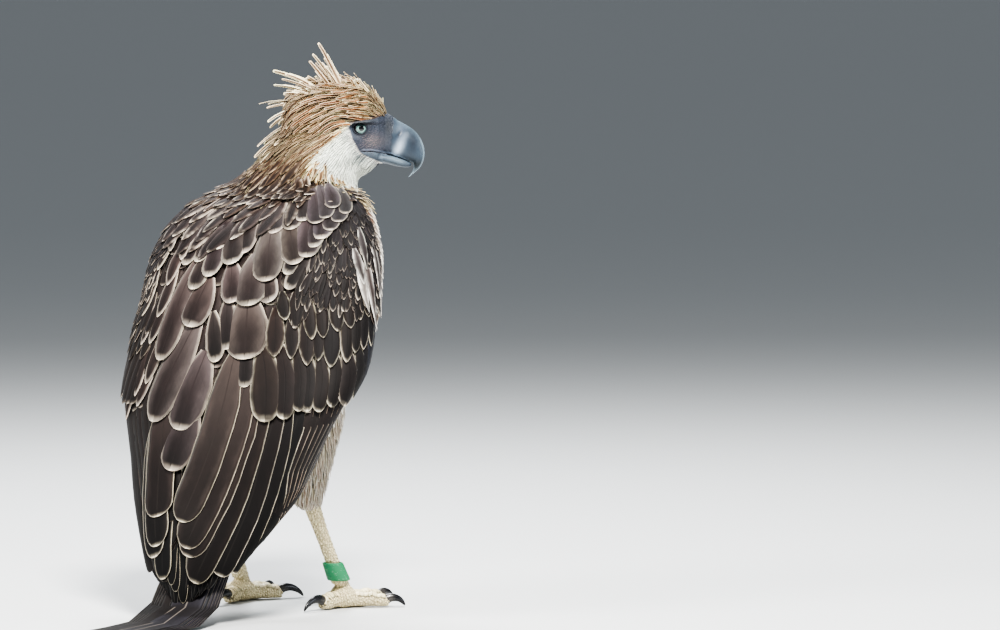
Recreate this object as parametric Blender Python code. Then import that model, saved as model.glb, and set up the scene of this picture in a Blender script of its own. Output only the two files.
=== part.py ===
"""A life-size still model of a Philippine eagle, standing with folded wings and the head turned to its right.

Metres, +Z up. The bird faces -Y, its right side is -X, and the floor is z = 0. Each solid is a loft of named stations; where two parts meet, one is cut
back from the other by SEAM so that they touch nowhere.
"""
import math

import bmesh
import bpy
import numpy as np
from mathutils import Matrix, Vector

for old in list(bpy.data.objects):
    bpy.data.objects.remove(old, do_unlink=True)

SEAM = 0.0004          # clear gap between two neighbouring solids
CENTRE = (0.0, 0.1801)    # the middle of the bounding box, which becomes the origin
VIEW_YAW = math.radians(30)   # the head's turn leaves it square to a viewer 30 degrees off the tail axis

# The closed wings' outer surface, one horizontal ellipse per height: z, centre Y, half width, depth behind the centre
SHELL = (
    (0.015, 0.252, 0.020, 0.008), (0.041, 0.250, 0.052, 0.012), (0.079, 0.237, 0.0725, 0.020),
    (0.117, 0.209, 0.098, 0.040), (0.154, 0.182, 0.122, 0.055), (0.203, 0.163, 0.137, 0.064),
    (0.239, 0.155, 0.150, 0.060), (0.276, 0.140, 0.165, 0.062), (0.313, 0.112, 0.175, 0.075),
    (0.351, 0.096, 0.1755, 0.078), (0.402, 0.079, 0.169, 0.078), (0.452, 0.068, 0.1665, 0.062),
    (0.489, 0.056, 0.151, 0.045), (0.514, 0.044, 0.134, 0.032), (0.526, 0.034, 0.118, 0.026),
    (0.540, 0.010, 0.088, 0.030),
)
# The trunk: z, back Y, front Y, half width
TRUNK = (
    (0.112, 0.203, 0.168, 0.014), (0.135, 0.203, 0.138, 0.034), (0.165, 0.198, 0.092, 0.060),
    (0.203, 0.194, 0.044, 0.086), (0.239, 0.192, 0.008, 0.106), (0.276, 0.190, -0.020, 0.124),
    (0.313, 0.186, -0.043, 0.137), (0.351, 0.178, -0.060, 0.144), (0.402, 0.160, -0.074, 0.147),
    (0.452, 0.134, -0.077, 0.143), (0.489, 0.104, -0.075, 0.131), (0.514, 0.078, -0.071, 0.116),
    (0.532, 0.056, -0.068, 0.096), (0.546, 0.036, -0.060, 0.066),
)
# The wing's back edge (degrees round the ellipse from the tail side, above the seam), its front edge, and the slab's thickness
WING_Z = (0.012, 0.06, 0.12, 0.20, 0.28, 0.32, 0.36, 0.40, 0.44, 0.48, 0.52, 0.536)
WING_BACK = (0, 0, 0, 0, 0, 4, 14, 26, 36, 46, 58, 66)
WING_FRONT = (82, 92, 100, 105, 108, 111, 115, 117, 117, 114, 104, 92)
WING_THICK = (0.0035, 0.005, 0.007, 0.010, 0.012, 0.013, 0.015, 0.017, 0.018, 0.018, 0.015, 0.010)
# The right wing lies over the left one: how far its back edge passes the middle plane
LAP_Z = (0.012, 0.041, 0.079, 0.117, 0.154, 0.203, 0.239, 0.276, 0.31)
LAP_X = (0.022, 0.022, 0.027, 0.031, 0.030, 0.019, 0.010, 0.004, 0.0)
WING_TOP = 0.536
WING_PROUD = 0.003
TIERS = (0.455, 0.405, 0.345, 0.285, 0.215)   # heights where one row of feathers ends over the next
TIER_STEP = 0.0022

HEAD_AT = Vector((-0.040, -0.040, 0.6235))
# Along the head from nape to bill: forward, top, bottom, half width
HEAD = (
    (-0.064, 0.020, -0.034, 0.020), (-0.056, 0.034, -0.050, 0.032), (-0.040, 0.046, -0.062, 0.041),
    (-0.020, 0.0535, -0.069, 0.046), (0.000, 0.057, -0.074, 0.048), (0.018, 0.0588, -0.073, 0.045),
    (0.034, 0.0555, -0.0665, 0.039), (0.046, 0.0470, -0.060, 0.034), (0.055, 0.0362, -0.0525, 0.029),
    (0.063, 0.0270, -0.044, 0.0235), (0.070, 0.0150, -0.036, 0.0165),
)
# The bill's stations run from its base to the hook's tip: ridge point, edge point (forward, up from the head's centre), half width
BILL_UPPER = (
    (0.0600, 0.0158, 0.0600, -0.0366, 0.0128), (0.0665, 0.0152, 0.0665, -0.0380, 0.0134), (0.0741, 0.0117, 0.0735, -0.0396, 0.0131),
    (0.0819, 0.0058, 0.0806, -0.0416, 0.0126), (0.0904, 0.0013, 0.0878, -0.0446, 0.0119), (0.0988, -0.0039, 0.0943, -0.0468, 0.0110),
    (0.1066, -0.0108, 0.0995, -0.0481, 0.0099), (0.1125, -0.0202, 0.1017, -0.0497, 0.0088), (0.1161, -0.0319, 0.1022, -0.0517, 0.0077),
    (0.1157, -0.0429, 0.1024, -0.0543, 0.0064), (0.1118, -0.0533, 0.1014, -0.0579, 0.0048), (0.1050, -0.0605, 0.0996, -0.0621, 0.0028),
    (0.0962, -0.0675, 0.0950, -0.0680, 0.0006),
)
BILL_LOWER = (
    (0.0450, -0.0355, 0.0450, -0.0475, 0.0098), (0.0560, -0.0362, 0.0560, -0.0488, 0.0112), (0.0660, -0.0376, 0.0665, -0.0502, 0.0108),
    (0.0770, -0.0402, 0.0780, -0.0532, 0.0100), (0.0870, -0.0436, 0.0885, -0.0550, 0.0084), (0.0945, -0.0462, 0.0958, -0.0548, 0.0060),
    (0.0990, -0.0490, 0.0993, -0.0525, 0.0024),
)
EYE_AT = (0.0332, -0.0039, 0.0272)   # forward, up, sideways from the head's centre
EYE_RADIUS = 0.0112
# The crest's long feathers, as degrees above straight back (90 is up), length from the head's centre, and sideways angle
CREST = (
    (76, 0.084, 3), (93, 0.088, 24), (95, 0.086, -25), (103, 0.108, -3), (112, 0.098, 36), (115, 0.100, -34),
    (122, 0.096, 5), (133, 0.092, 52), (136, 0.092, -47), (140, 0.107, -4), (149, 0.096, 29), (151, 0.098, -28),
    (158, 0.100, 3), (166, 0.098, 48), (169, 0.098, -46), (173, 0.104, -3), (184, 0.098, 25), (187, 0.098, -24),
    (190, 0.106, 4),
)
CREST_WIDE, CREST_THICK, CREST_SKIN = 0.0190, 0.0064, 0.0060

# The neck, bottom to top: X, Y, z, half width across the view, half depth
NECK = (
    (0.004, -0.012, 0.530, 0.082, 0.062), (0.000, -0.013, 0.546, 0.076, 0.058), (-0.008, -0.016, 0.562, 0.070, 0.055),
    (-0.018, -0.022, 0.582, 0.064, 0.052), (-0.026, -0.029, 0.602, 0.056, 0.048), (-0.032, -0.034, 0.620, 0.040, 0.036),
)
# The tail's middle line, root to tip: Y, z, half width, thickness
TAIL = (
    (0.172, 0.238, 0.026, 0.012), (0.180, 0.205, 0.034, 0.014), (0.193, 0.165, 0.040, 0.013), (0.205, 0.130, 0.043, 0.012),
    (0.215, 0.098, 0.045, 0.011), (0.225, 0.070, 0.046, 0.010), (0.238, 0.045, 0.047, 0.0095), (0.256, 0.024, 0.049, 0.009),
    (0.282, 0.0095, 0.051, 0.0085), (0.315, 0.0044, 0.054, 0.0080), (0.355, 0.0040, 0.057, 0.0074), (0.395, 0.0035, 0.060, 0.0066),
    (0.432, 0.0030, 0.062, 0.0056), (0.462, 0.0024, 0.062, 0.0044),
)
TAIL_FEATHERS = 5        # feather ends that show across the closed tail
TAIL_SCALLOP = 0.016
# The feathered thigh: X, Y, z, half width, half depth
THIGH = (
    (0.052, 0.026, 0.312, 0.030, 0.036), (0.052, 0.036, 0.272, 0.042, 0.050), (0.052, 0.048, 0.238, 0.042, 0.052), (0.054, 0.056, 0.206, 0.036, 0.044),
    (0.058, 0.061, 0.178, 0.029, 0.034), (0.062, 0.064, 0.154, 0.0215, 0.024), (0.065, 0.065, 0.136, 0.0150, 0.0160),
)
# The bare shank: X, Y, z, half width, half depth
SHANK = (
    (0.0650, 0.0660, 0.170, 0.0110, 0.0120), (0.0652, 0.0660, 0.148, 0.0122, 0.0140), (0.0668, 0.0575, 0.130, 0.0104, 0.0116),
    (0.0695, 0.0450, 0.104, 0.0090, 0.0098), (0.0725, 0.0310, 0.076, 0.0088, 0.0094), (0.0752, 0.0180, 0.050, 0.0094, 0.0100),
    (0.0772, 0.0085, 0.031, 0.0112, 0.0120),
)
FOOT_AT = (0.0780, 0.004)
PAD_RADIUS = (0.0175, 0.0185, 0.0165)
PAD_Z = 0.0145
# Each toe: name, degrees outwards from straight ahead, length, radius at the root, radius at the end, claw length
TOES = (
    ("inner", -34, 0.056, 0.0118, 0.0096, 0.043), ("middle", 8, 0.078, 0.0114, 0.0088, 0.036),
    ("outer", 54, 0.060, 0.0108, 0.0086, 0.030), ("hind", 188, 0.042, 0.0118, 0.0100, 0.047),
)
BAND_FROM, BAND_TO = 0.036, 0.060
BAND_GAP, BAND_WALL = 0.0011, 0.0026

COLOURS = {
    "head": (0.62, 0.44, 0.23, 0.8), "crest": (0.50, 0.32, 0.14, 0.8), "bill_upper": (0.36, 0.42, 0.45, 0.3),
    "bill_lower": (0.34, 0.40, 0.43, 0.3), "eye": (0.42, 0.56, 0.56, 0.1), "neck": (0.55, 0.40, 0.22, 0.8),
    "trunk": (0.30, 0.25, 0.20, 0.8), "wing": (0.15, 0.13, 0.115, 0.75), "tail": (0.17, 0.16, 0.15, 0.75),
    "thigh": (0.62, 0.50, 0.38, 0.8), "shank": (0.62, 0.56, 0.36, 0.5), "foot": (0.62, 0.56, 0.38, 0.5),
    "claw": (0.03, 0.03, 0.032, 0.25), "band": (0.05, 0.30, 0.16, 0.45),
}

FORWARD = Vector((-math.cos(VIEW_YAW), -math.sin(VIEW_YAW), 0))   # the head's forward direction
SIDE = Vector((-math.sin(VIEW_YAW), math.cos(VIEW_YAW), 0))       # towards the head's right side
UP = Vector((0, 0, 1))


def table(rows, at, column):
    return float(np.interp(at, [row[0] for row in rows], [row[column] for row in rows]))


def smooth(xs, ys, at):
    """Cubic through the stations with slopes that never overshoot them."""
    xs, ys = np.asarray(xs, float), np.asarray(ys, float)
    steps, rises = np.diff(xs), np.diff(ys)
    secant = rises / steps
    slope = np.zeros(len(xs))
    for i in range(1, len(xs) - 1):
        if secant[i - 1] * secant[i] > 0:
            slope[i] = 2 * secant[i - 1] * secant[i] / (secant[i - 1] + secant[i])
    slope[0], slope[-1] = secant[0], secant[-1]
    at = min(max(at, xs[0]), xs[-1])
    i = int(min(np.searchsorted(xs, at, side="right") - 1, len(xs) - 2))
    t = (at - xs[i]) / steps[i]
    return float((2 * t**3 - 3 * t**2 + 1) * ys[i] + (t**3 - 2 * t**2 + t) * steps[i] * slope[i]
                 + (-2 * t**3 + 3 * t**2) * ys[i + 1] + (t**3 - t**2) * steps[i] * slope[i + 1])


def column(rows, index, at):
    return smooth([row[0] for row in rows], [row[index] for row in rows], at)


def material(kind, name):
    made = bpy.data.materials.new(name)
    made.use_nodes = True
    red, green, blue, rough = COLOURS[kind]
    shader = made.node_tree.nodes["Principled BSDF"]
    shader.inputs["Base Color"].default_value = (red, green, blue, 1)
    shader.inputs["Roughness"].default_value = rough
    shader.inputs["Metallic"].default_value = 0
    made.diffuse_color = (red, green, blue, 1)
    return made


def lofted(rings, grow=0.0):
    """A closed mesh through rings of equal length, each end closed on its middle."""
    made = bmesh.new()
    rows = [[made.verts.new(point) for point in ring] for ring in rings]
    count = len(rows[0])
    for a, b in zip(rows, rows[1:]):
        for i in range(count):
            j = (i + 1) % count
            made.faces.new((a[i], a[j], b[j], b[i]))
    for row in (rows[0], rows[-1]):
        middle = made.verts.new(sum((vert.co for vert in row), Vector()) / count)
        for i in range(count):
            made.faces.new((row[i], row[(i + 1) % count], middle))
    return finished(made, grow)


def finished(made, grow=0.0):
    bmesh.ops.recalc_face_normals(made, faces=made.faces[:])
    if made.calc_volume(signed=True) < 0:
        bmesh.ops.reverse_faces(made, faces=made.faces[:])
    made.normal_update()
    if grow:
        moves = [vert.normal * grow for vert in made.verts]
        for vert, move in zip(made.verts, moves):
            vert.co += move
    bmesh.ops.triangulate(made, faces=made.faces[:])
    mesh = bpy.data.meshes.new("loft")
    made.to_mesh(mesh)
    made.free()
    return mesh


def node(name, kind, mesh):
    obj = bpy.data.objects.new(name, mesh)
    mesh.name = name
    mesh.materials.append(material(kind, name))
    for face in mesh.polygons:
        face.use_smooth = True
    bpy.context.scene.collection.objects.link(obj)
    return obj


def helper(name, mesh, collection=None):
    obj = bpy.data.objects.new(name, mesh)
    obj.hide_render = True
    obj.display_type = "WIRE"
    (collection or bpy.context.scene.collection).objects.link(obj)
    return obj


def combine(obj, operation, other, own_overlaps=False, solver="EXACT"):
    modifier = obj.modifiers.new(operation.title(), "BOOLEAN")
    modifier.operation = operation
    modifier.solver = solver
    modifier.use_self = own_overlaps
    if isinstance(other, bpy.types.Collection):
        modifier.operand_type = "COLLECTION"
        modifier.collection = other
    else:
        modifier.object = other
    return modifier


def oval(centre, across, along, half_across, half_along, count, power=2.0):
    ring = []
    for i in range(count):
        turn = 2 * math.pi * i / count
        c, s = math.cos(turn), math.sin(turn)
        c = math.copysign(abs(c) ** (2 / power), c)
        s = math.copysign(abs(s) ** (2 / power), s)
        ring.append(centre + across * (half_across * c) + along * (half_along * s))
    return ring


# ---- trunk, neck, head ----

def trunk_mesh(grow=0.0, count=20, levels=12):
    rings = []
    for k in range(levels):
        z = TRUNK[0][0] + (TRUNK[-1][0] - TRUNK[0][0]) * k / (levels - 1)
        back, front, half = (column(TRUNK, index, z) for index in (1, 2, 3))
        middle = back + (front - back) * 0.45
        ring = []
        for i in range(count):
            turn = 2 * math.pi * i / count
            x = half * math.sin(turn)
            depth = (back - middle) if math.cos(turn) > 0 else (middle - front)
            power = 0.86 if math.cos(turn) > 0 else 0.94
            ring.append(Vector((x, middle + depth * math.copysign(abs(math.cos(turn)) ** power, math.cos(turn)), z)))
        rings.append(ring)
    return lofted(rings, grow)


def neck_mesh(grow=0.0, count=16):
    rings = []
    for x, y, z, half, depth in NECK:
        rings.append(oval(Vector((x, y, z)), FORWARD, SIDE, half, depth, count, 2.2))
    return lofted(rings, grow)


def head_point(forward, up, side=0.0):
    return HEAD_AT + FORWARD * forward + UP * up + SIDE * side


def head_mesh(grow=0.0, count=16, stations=HEAD):
    rings = []
    for forward, top, bottom, half in stations:
        middle = (top + bottom) / 2
        ring = []
        for i in range(count):
            turn = 2 * math.pi * i / count
            up = math.cos(turn)
            side = math.sin(turn)
            pinch = 1 - 0.14 * max(0.0, up) ** 2       # the crown is narrower than the cheeks
            ring.append(head_point(forward, middle + (top - bottom) / 2 * up, half * pinch * math.copysign(abs(side) ** 0.9, side)))
        rings.append(ring)
    return lofted(rings, grow)


def bill_mesh(stations, ridge, grow=0.0, count=14):
    """ridge narrows the top of each section, so that the upper bill has its ridge and the lower one its keel."""
    rings = []
    for top_f, top_u, low_f, low_u, half in stations:
        top, low = Vector((top_f, top_u)), Vector((low_f, low_u))
        middle, reach = (top + low) / 2, (top - low) / 2
        ring = []
        for i in range(count):
            turn = 2 * math.pi * (i + 0.5) / count
            up, side = math.cos(turn), math.sin(turn)
            narrow = 1 - ridge * max(0.0, up) ** 1.5 if ridge > 0 else 1 + ridge * max(0.0, -up) ** 1.5
            at = middle + reach * math.copysign(abs(up) ** 0.8, up)
            ring.append(head_point(at.x, at.y, half * narrow * side))
        rings.append(ring)
    return lofted(rings, grow)


def ball_mesh(centre, radii, grow=0.0, count=16, rings_count=10, axes=(Vector((1, 0, 0)), Vector((0, 1, 0)), UP)):
    made = bmesh.new()
    bmesh.ops.create_uvsphere(made, u_segments=count, v_segments=rings_count, radius=1)
    for vert in made.verts:
        x, y, z = vert.co
        vert.co = centre + axes[0] * (x * (radii[0] + grow)) + axes[1] * (y * (radii[1] + grow)) + axes[2] * (z * (radii[2] + grow))
    return finished(made)


# ---- wings ----

def shell_point(z, degrees, offset, side):
    """A point of the closed wings' surface at a height, side -1 being the bird's right."""
    centre, half, depth = (column(SHELL, index, z) for index in (1, 2, 3))
    turn = math.radians(degrees)
    x, y = half * math.sin(turn), depth * math.cos(turn)
    nx, ny = math.sin(turn) * depth, math.cos(turn) * half
    length = math.hypot(nx, ny) or 1.0
    return Vector((side * (x + nx / length * offset), centre + y + ny / length * offset, z))


def back_edge(z, side):
    """Where the wing's back edge lies, in degrees; below the mantle the wings meet on the lap line."""
    lap = float(np.interp(z, LAP_Z, LAP_X)) * side
    half = column(SHELL, 2, z)
    least = math.degrees(math.asin(max(-0.95, min(0.95, (lap + 0.0006) / max(half, 0.023)))))
    return max(least, float(np.interp(z, WING_Z, WING_BACK))) if z > 0.30 else least


def tier_rise(z):
    """Rows of feathers overlap: each row lifts towards its end and drops to the next one below."""
    above = [WING_TOP] + list(TIERS)
    below = list(TIERS) + [0.0]
    for top, low in zip(above, below):
        if low <= z <= top:
            return TIER_STEP * (top - z) / (top - low)
    return 0.0


def wing_end(across, side):
    """The height of the wing's lower end across it: the long outer quills reach lowest, each with its own tip."""
    low = 0.014 if side < 0 else 0.012
    high = 0.074 if side < 0 else 0.060
    rise = low + (high - low) * min(1.0, across / 0.72) ** 0.8
    return rise + 0.008 * abs(math.sin(across * 5 * math.pi))


def wing_mesh(side, grow=0.0, columns=9):
    levels = []
    for top, low in zip([WING_TOP] + list(TIERS), list(TIERS) + [0.0]):
        if low > 0:
            levels += [top] + ([top + (low - top) * 0.25, top + (low - top) * 0.6] if top == WING_TOP else []) + [low + 0.0012]
        else:
            levels += [top, top - 0.045, top - 0.09, top - 0.135, top - 0.17, None]
    rings = []
    for z in levels:
        outer, inner = [], []
        for i in range(columns):
            across = i / (columns - 1)
            height = wing_end(across, side) if z is None else z
            start, stop = back_edge(height, side), float(np.interp(height, WING_Z, WING_FRONT))
            at = start + (stop - start) * across
            thick = float(np.interp(height, WING_Z, WING_THICK))
            edge = 0.35 + 0.65 * math.sin(math.pi * across) ** 0.5 if 0 < across < 1 else 0.35
            outer.append(shell_point(height, at, WING_PROUD * edge + tier_rise(height) * edge, side))
            inner.append(shell_point(height, at, WING_PROUD * edge - thick * edge, side))
        rings.append(outer + inner[::-1])
    return lofted(rings, grow)


# ---- tail ----

def tail_mesh(grow=0.0, columns=11):
    length = [0.0]
    for a, b in zip(TAIL, TAIL[1:]):
        length.append(length[-1] + math.dist(a[:2], b[:2]))
    rings = []
    levels = 12
    for k in range(levels):
        outer, inner = [], []
        for i in range(columns):
            across = -1 + 2 * i / (columns - 1)
            end = length[-1] - TAIL_SCALLOP * (0.45 * across**2 + 0.55 * abs(math.sin(across * TAIL_FEATHERS * math.pi / 2)))
            at = end * k / (levels - 1)
            y, z, half, thick = (float(np.interp(at, length, [row[c] for row in TAIL])) for c in range(4))
            ahead = [float(np.interp(min(at + 0.004, length[-1]), length, [row[c] for row in TAIL])) for c in range(2)]
            behind = [float(np.interp(max(at - 0.004, 0), length, [row[c] for row in TAIL])) for c in range(2)]
            ty, tz = ahead[0] - behind[0], ahead[1] - behind[1]
            size = math.hypot(ty, tz)
            ny, nz = -tz / size, ty / size
            body = (1 - 0.72 * across**4) * thick / 2
            drop = 0.004 * across**2 * (1 if z > 0.02 else 0.3)
            outer.append(Vector((across * half, y + ny * (body - drop), z + nz * (body - drop))))
            low = Vector((across * half, y - ny * (body + drop), z - nz * (body + drop)))
            if at > 0.30:
                low.z = 0.0
            low.z = max(low.z, 0.0)
            inner.append(low)
        rings.append(outer + inner[::-1])
    return lofted(rings, grow)


# ---- legs ----

def leg_mesh(stations, side, count, grow=0.0, power=2.0):
    rings = []
    for x, y, z, half, depth in stations:
        rings.append(oval(Vector((side * x, y, z)), Vector((1, 0, 0)), Vector((0, 1, 0)), half, depth, count, power))
    return lofted(rings, grow)


def toe_mesh(side, degrees, length, root, end, grow=0.0, count=8):
    """A toe with its joints' swellings, its pads flat on the floor."""
    turn = math.radians(degrees)
    ahead = Vector((side * math.sin(turn), -math.cos(turn), 0))
    across = Vector((-ahead.y, ahead.x, 0))
    start = Vector((side * FOOT_AT[0], FOOT_AT[1], 0))
    steps = (0.0, 0.36, 0.60, 0.84, 1.0)
    swell = (1.0, 0.90, 1.06, 0.98, 0.62)
    rings = []
    for at, big in zip(steps, swell):
        radius = (root + (end - root) * at) * big
        rise = radius * 0.86 + 0.0035 * math.sin(math.pi * at) * (1 - at)
        middle = start + ahead * (0.006 + (length - 0.006) * at) + UP * rise
        ring = oval(middle, across, UP, radius, radius * 1.02, count)
        rings.append([Vector((p.x, p.y, max(p.z, 0.0))) for p in ring])
    return lofted(rings, grow), start + ahead * length, ahead, end


def claw_mesh(tip_of_toe, ahead, end, length, grow=0.0, count=7):
    """A claw leaves the toe's end and curves down until its point is on the floor."""
    across = Vector((-ahead.y, ahead.x, 0))
    rings = []
    steps = 7
    lift = end * 1.05
    bend = math.radians(98)
    radius_of_arc = length / bend
    turn = math.radians(34)
    at = tip_of_toe - ahead * 0.005 + UP * lift
    points, headings = [], []
    for k in range(steps):
        points.append(at.copy())
        headings.append(turn)
        step = length / (steps - 1)
        at = at + (ahead * math.cos(turn) + UP * math.sin(turn)) * step
        turn -= step / radius_of_arc
    low = min(p.z for p in points)
    squash = (lift - 0.0016) / max(lift - low, 1e-6)
    for k, (point, heading) in enumerate(zip(points, headings)):
        share = k / (steps - 1)
        z = lift + (point.z - lift) * (squash if point.z < lift else 1.0)
        middle = Vector((point.x, point.y, z))
        radius = 0.0062 * (1 - share) ** 0.62 + 0.0007
        normal = UP * math.cos(heading) - ahead * math.sin(heading)
        ring = oval(middle, across, normal, radius * 0.86, radius, count)
        rings.append([Vector((p.x, p.y, max(p.z, 0.0))) for p in ring])
    return lofted(rings, grow)


def band_mesh(side):
    """A plain ring round the shank, open along its middle."""
    count = 16
    rows = []
    sections = ((BAND_FROM, 0), (BAND_FROM, 1), (BAND_FROM + 0.0015, 1.2), (BAND_TO - 0.0015, 1.2), (BAND_TO, 1), (BAND_TO, 0))
    stations = [(z, x, y, half, depth) for x, y, z, half, depth in SHANK][::-1]
    made = bmesh.new()
    for z, out in sections:
        x, y, half, depth = (table(stations, z, c) for c in range(1, 5))
        ring = oval(Vector((side * x, y, z)), Vector((1, 0, 0)), Vector((0, 1, 0)),
                    half + BAND_GAP + BAND_WALL * out, depth + BAND_GAP + BAND_WALL * out, count)
        rows.append([made.verts.new(p) for p in ring])
    for a, b in zip(rows, rows[1:] + rows[:1]):
        for i in range(count):
            j = (i + 1) % count
            made.faces.new((a[i], a[j], b[j], b[i]))
    return finished(made)


def blade_mesh(degrees, reach, sideways):
    """One long, narrow crest feather, from inside the head's outline to its tip."""
    up, out = math.radians(degrees), math.radians(sideways)
    flat = FORWARD * math.cos(up) + UP * math.sin(up)
    along = (flat * math.cos(out) + SIDE * math.sin(out)).normalized()
    across = along.cross(SIDE if abs(sideways) < 30 else UP).normalized()
    thin = along.cross(across).normalized()
    rings = []
    for at, wide in ((0.50, 0.9), (0.78, 1.0), (1.0, 0.08)):
        rings.append(oval(HEAD_AT + along * (reach * at), across, thin, CREST_WIDE * wide / 2, CREST_THICK * (0.35 + 0.65 * wide) / 2, 4))
    return lofted(rings)


def box_mesh(centre, axes, halves):
    made = bmesh.new()
    bmesh.ops.create_cube(made, size=2)
    for vert in made.verts:
        x, y, z = vert.co
        vert.co = centre + axes[0] * (x * halves[0]) + axes[1] * (y * halves[1]) + axes[2] * (z * halves[2])
    return finished(made)


def build():
    trunk = node("trunk", "trunk", trunk_mesh())
    wings = {}
    for side, word in ((-1, "right"), (1, "left")):
        wings[word] = node("wing_" + word, "wing", wing_mesh(side))
        combine(trunk, "DIFFERENCE", helper("cut_trunk_wing_" + word, wing_mesh(side, SEAM)))
    tail_cut = helper("cut_tail", tail_mesh(SEAM))
    combine(trunk, "DIFFERENCE", tail_cut)
    tail = node("tail", "tail", tail_mesh())
    for side, word in ((-1, "right"), (1, "left")):
        combine(tail, "DIFFERENCE", helper("cut_tail_wing_" + word, wing_mesh(side, SEAM)))

    neck = node("neck", "neck", neck_mesh())
    combine(neck, "DIFFERENCE", helper("cut_neck_trunk", trunk_mesh(SEAM)))
    for side, word in ((-1, "right"), (1, "left")):
        combine(neck, "DIFFERENCE", helper("cut_neck_wing_" + word, wing_mesh(side, SEAM)))
    head_cut = helper("cut_head", head_mesh(SEAM))
    combine(neck, "DIFFERENCE", head_cut)
    combine(trunk, "DIFFERENCE", head_cut)

    head = node("head", "head", head_mesh())
    for name, stations, ridge in (("upper", BILL_UPPER, 0.42), ("lower", BILL_LOWER, -0.35)):
        bill = node("bill_" + name, "bill_" + name, bill_mesh(stations, ridge))
        # The lower cut reaches up into the upper one, so that no thin sheet is left between the two
        reach = 0.004 if name == "lower" else 0.0
        opening = [(a, b + reach, c, d - reach * 0.25, half + reach * 0.25) for a, b, c, d, half in stations]
        combine(head, "DIFFERENCE", helper("cut_head_bill_" + name, bill_mesh(opening, ridge, SEAM)))
        if name == "lower":
            combine(bill, "DIFFERENCE", helper("cut_bill_lower", bill_mesh(BILL_UPPER, 0.42, SEAM)))
    for side, word in ((1, "right"), (-1, "left")):
        centre = head_point(EYE_AT[0], EYE_AT[1], side * EYE_AT[2])
        node("eye_" + word, "eye", ball_mesh(centre, (EYE_RADIUS,) * 3, 0, 12, 8))
        combine(head, "DIFFERENCE", helper("cut_head_eye_" + word, ball_mesh(centre, (EYE_RADIUS,) * 3, SEAM, 12, 8)))

    crest = node("crest", "crest", head_mesh(CREST_SKIN, 16, HEAD[:7]))
    # The crest keeps the crown and nape; this block takes away the face, cheek and throat side.
    slope = math.radians(38)
    down = (FORWARD * math.cos(slope) - UP * math.sin(slope)).normalized()
    along = (FORWARD * math.sin(slope) + UP * math.cos(slope)).normalized()
    combine(crest, "DIFFERENCE", helper("cut_crest_face", box_mesh(head_point(0.010, -0.012) + down * 0.15, (down, along, SIDE), (0.15, 0.2, 0.2))))
    blades = bpy.data.collections.new("crest_feathers")
    bpy.context.scene.collection.children.link(blades)
    blades.hide_render = True
    for k, (degrees, reach, sideways) in enumerate(CREST):
        helper("blade_%02d" % k, blade_mesh(degrees, reach, sideways), blades)
    combine(crest, "UNION", blades, True)
    combine(crest, "DIFFERENCE", helper("cut_crest_head", head_mesh(SEAM)))
    combine(crest, "DIFFERENCE", helper("cut_crest_neck", neck_mesh(SEAM)))

    for side, word in ((-1, "right"), (1, "left")):
        thigh = node("thigh_" + word, "thigh", leg_mesh(THIGH, side, 14))
        combine(thigh, "DIFFERENCE", helper("cut_thigh_trunk_" + word, trunk_mesh(SEAM)))
        combine(thigh, "DIFFERENCE", helper("cut_thigh_shank_" + word, leg_mesh(SHANK, side, 12, SEAM)))
        shank = node("shank_" + word, "shank", leg_mesh(SHANK, side, 12))
        pad_at = Vector((side * FOOT_AT[0], FOOT_AT[1], PAD_Z))
        foot = node("foot_" + word, "foot", ball_mesh(pad_at, PAD_RADIUS, 0, 10, 6))
        floor = helper("cut_floor_" + word, box_mesh(Vector((0, 0, -0.05)), (Vector((1, 0, 0)), Vector((0, 1, 0)), UP), (0.3, 0.3, 0.05)))
        toes = bpy.data.collections.new("toes_" + word)
        bpy.context.scene.collection.children.link(toes)
        toes.hide_render = True
        for name, degrees, length, root, end, claw in TOES:
            mesh, tip, ahead, radius = toe_mesh(side, degrees, length, root, end)
            helper("toe_%s_%s" % (name, word), mesh, toes)
            nail = node("claw_%s_%s" % (name, word), "claw", claw_mesh(tip, ahead, radius, claw))
            combine(nail, "DIFFERENCE", helper("cut_claw_%s_%s" % (name, word), toe_mesh(side, degrees, length, root, end, SEAM)[0]))
        combine(foot, "UNION", toes, True)
        combine(foot, "DIFFERENCE", floor)
        combine(foot, "DIFFERENCE", helper("cut_foot_shank_" + word, leg_mesh(SHANK, side, 12, SEAM)))
        if word == "right":
            node("leg_band", "band", band_mesh(side))


build()
shift = Matrix.Translation((-CENTRE[0], -CENTRE[1], 0))
for obj in bpy.data.objects:
    obj.data.transform(shift)
bpy.context.view_layer.update()
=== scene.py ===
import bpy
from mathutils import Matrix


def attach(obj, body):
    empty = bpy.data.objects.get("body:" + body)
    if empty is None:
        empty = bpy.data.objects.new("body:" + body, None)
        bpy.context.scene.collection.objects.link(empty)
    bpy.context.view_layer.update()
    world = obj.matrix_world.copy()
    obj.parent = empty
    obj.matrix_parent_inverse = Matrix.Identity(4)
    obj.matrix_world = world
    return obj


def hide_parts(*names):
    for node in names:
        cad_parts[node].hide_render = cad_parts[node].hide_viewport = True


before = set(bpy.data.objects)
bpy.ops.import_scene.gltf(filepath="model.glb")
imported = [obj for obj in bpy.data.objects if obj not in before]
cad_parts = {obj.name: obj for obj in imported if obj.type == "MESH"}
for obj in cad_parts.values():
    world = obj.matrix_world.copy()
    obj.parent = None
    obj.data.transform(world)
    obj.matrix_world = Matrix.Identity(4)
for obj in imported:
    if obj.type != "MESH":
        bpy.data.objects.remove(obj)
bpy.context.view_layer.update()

import math

import bmesh
import bpy
import numpy as np
from mathutils import Matrix, Vector
from mathutils.bvhtree import BVHTree

rng = np.random.default_rng(7)
SHIFT = np.array([0.0, -0.1801, 0.0])     # the part's own shift to its box's middle

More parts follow.
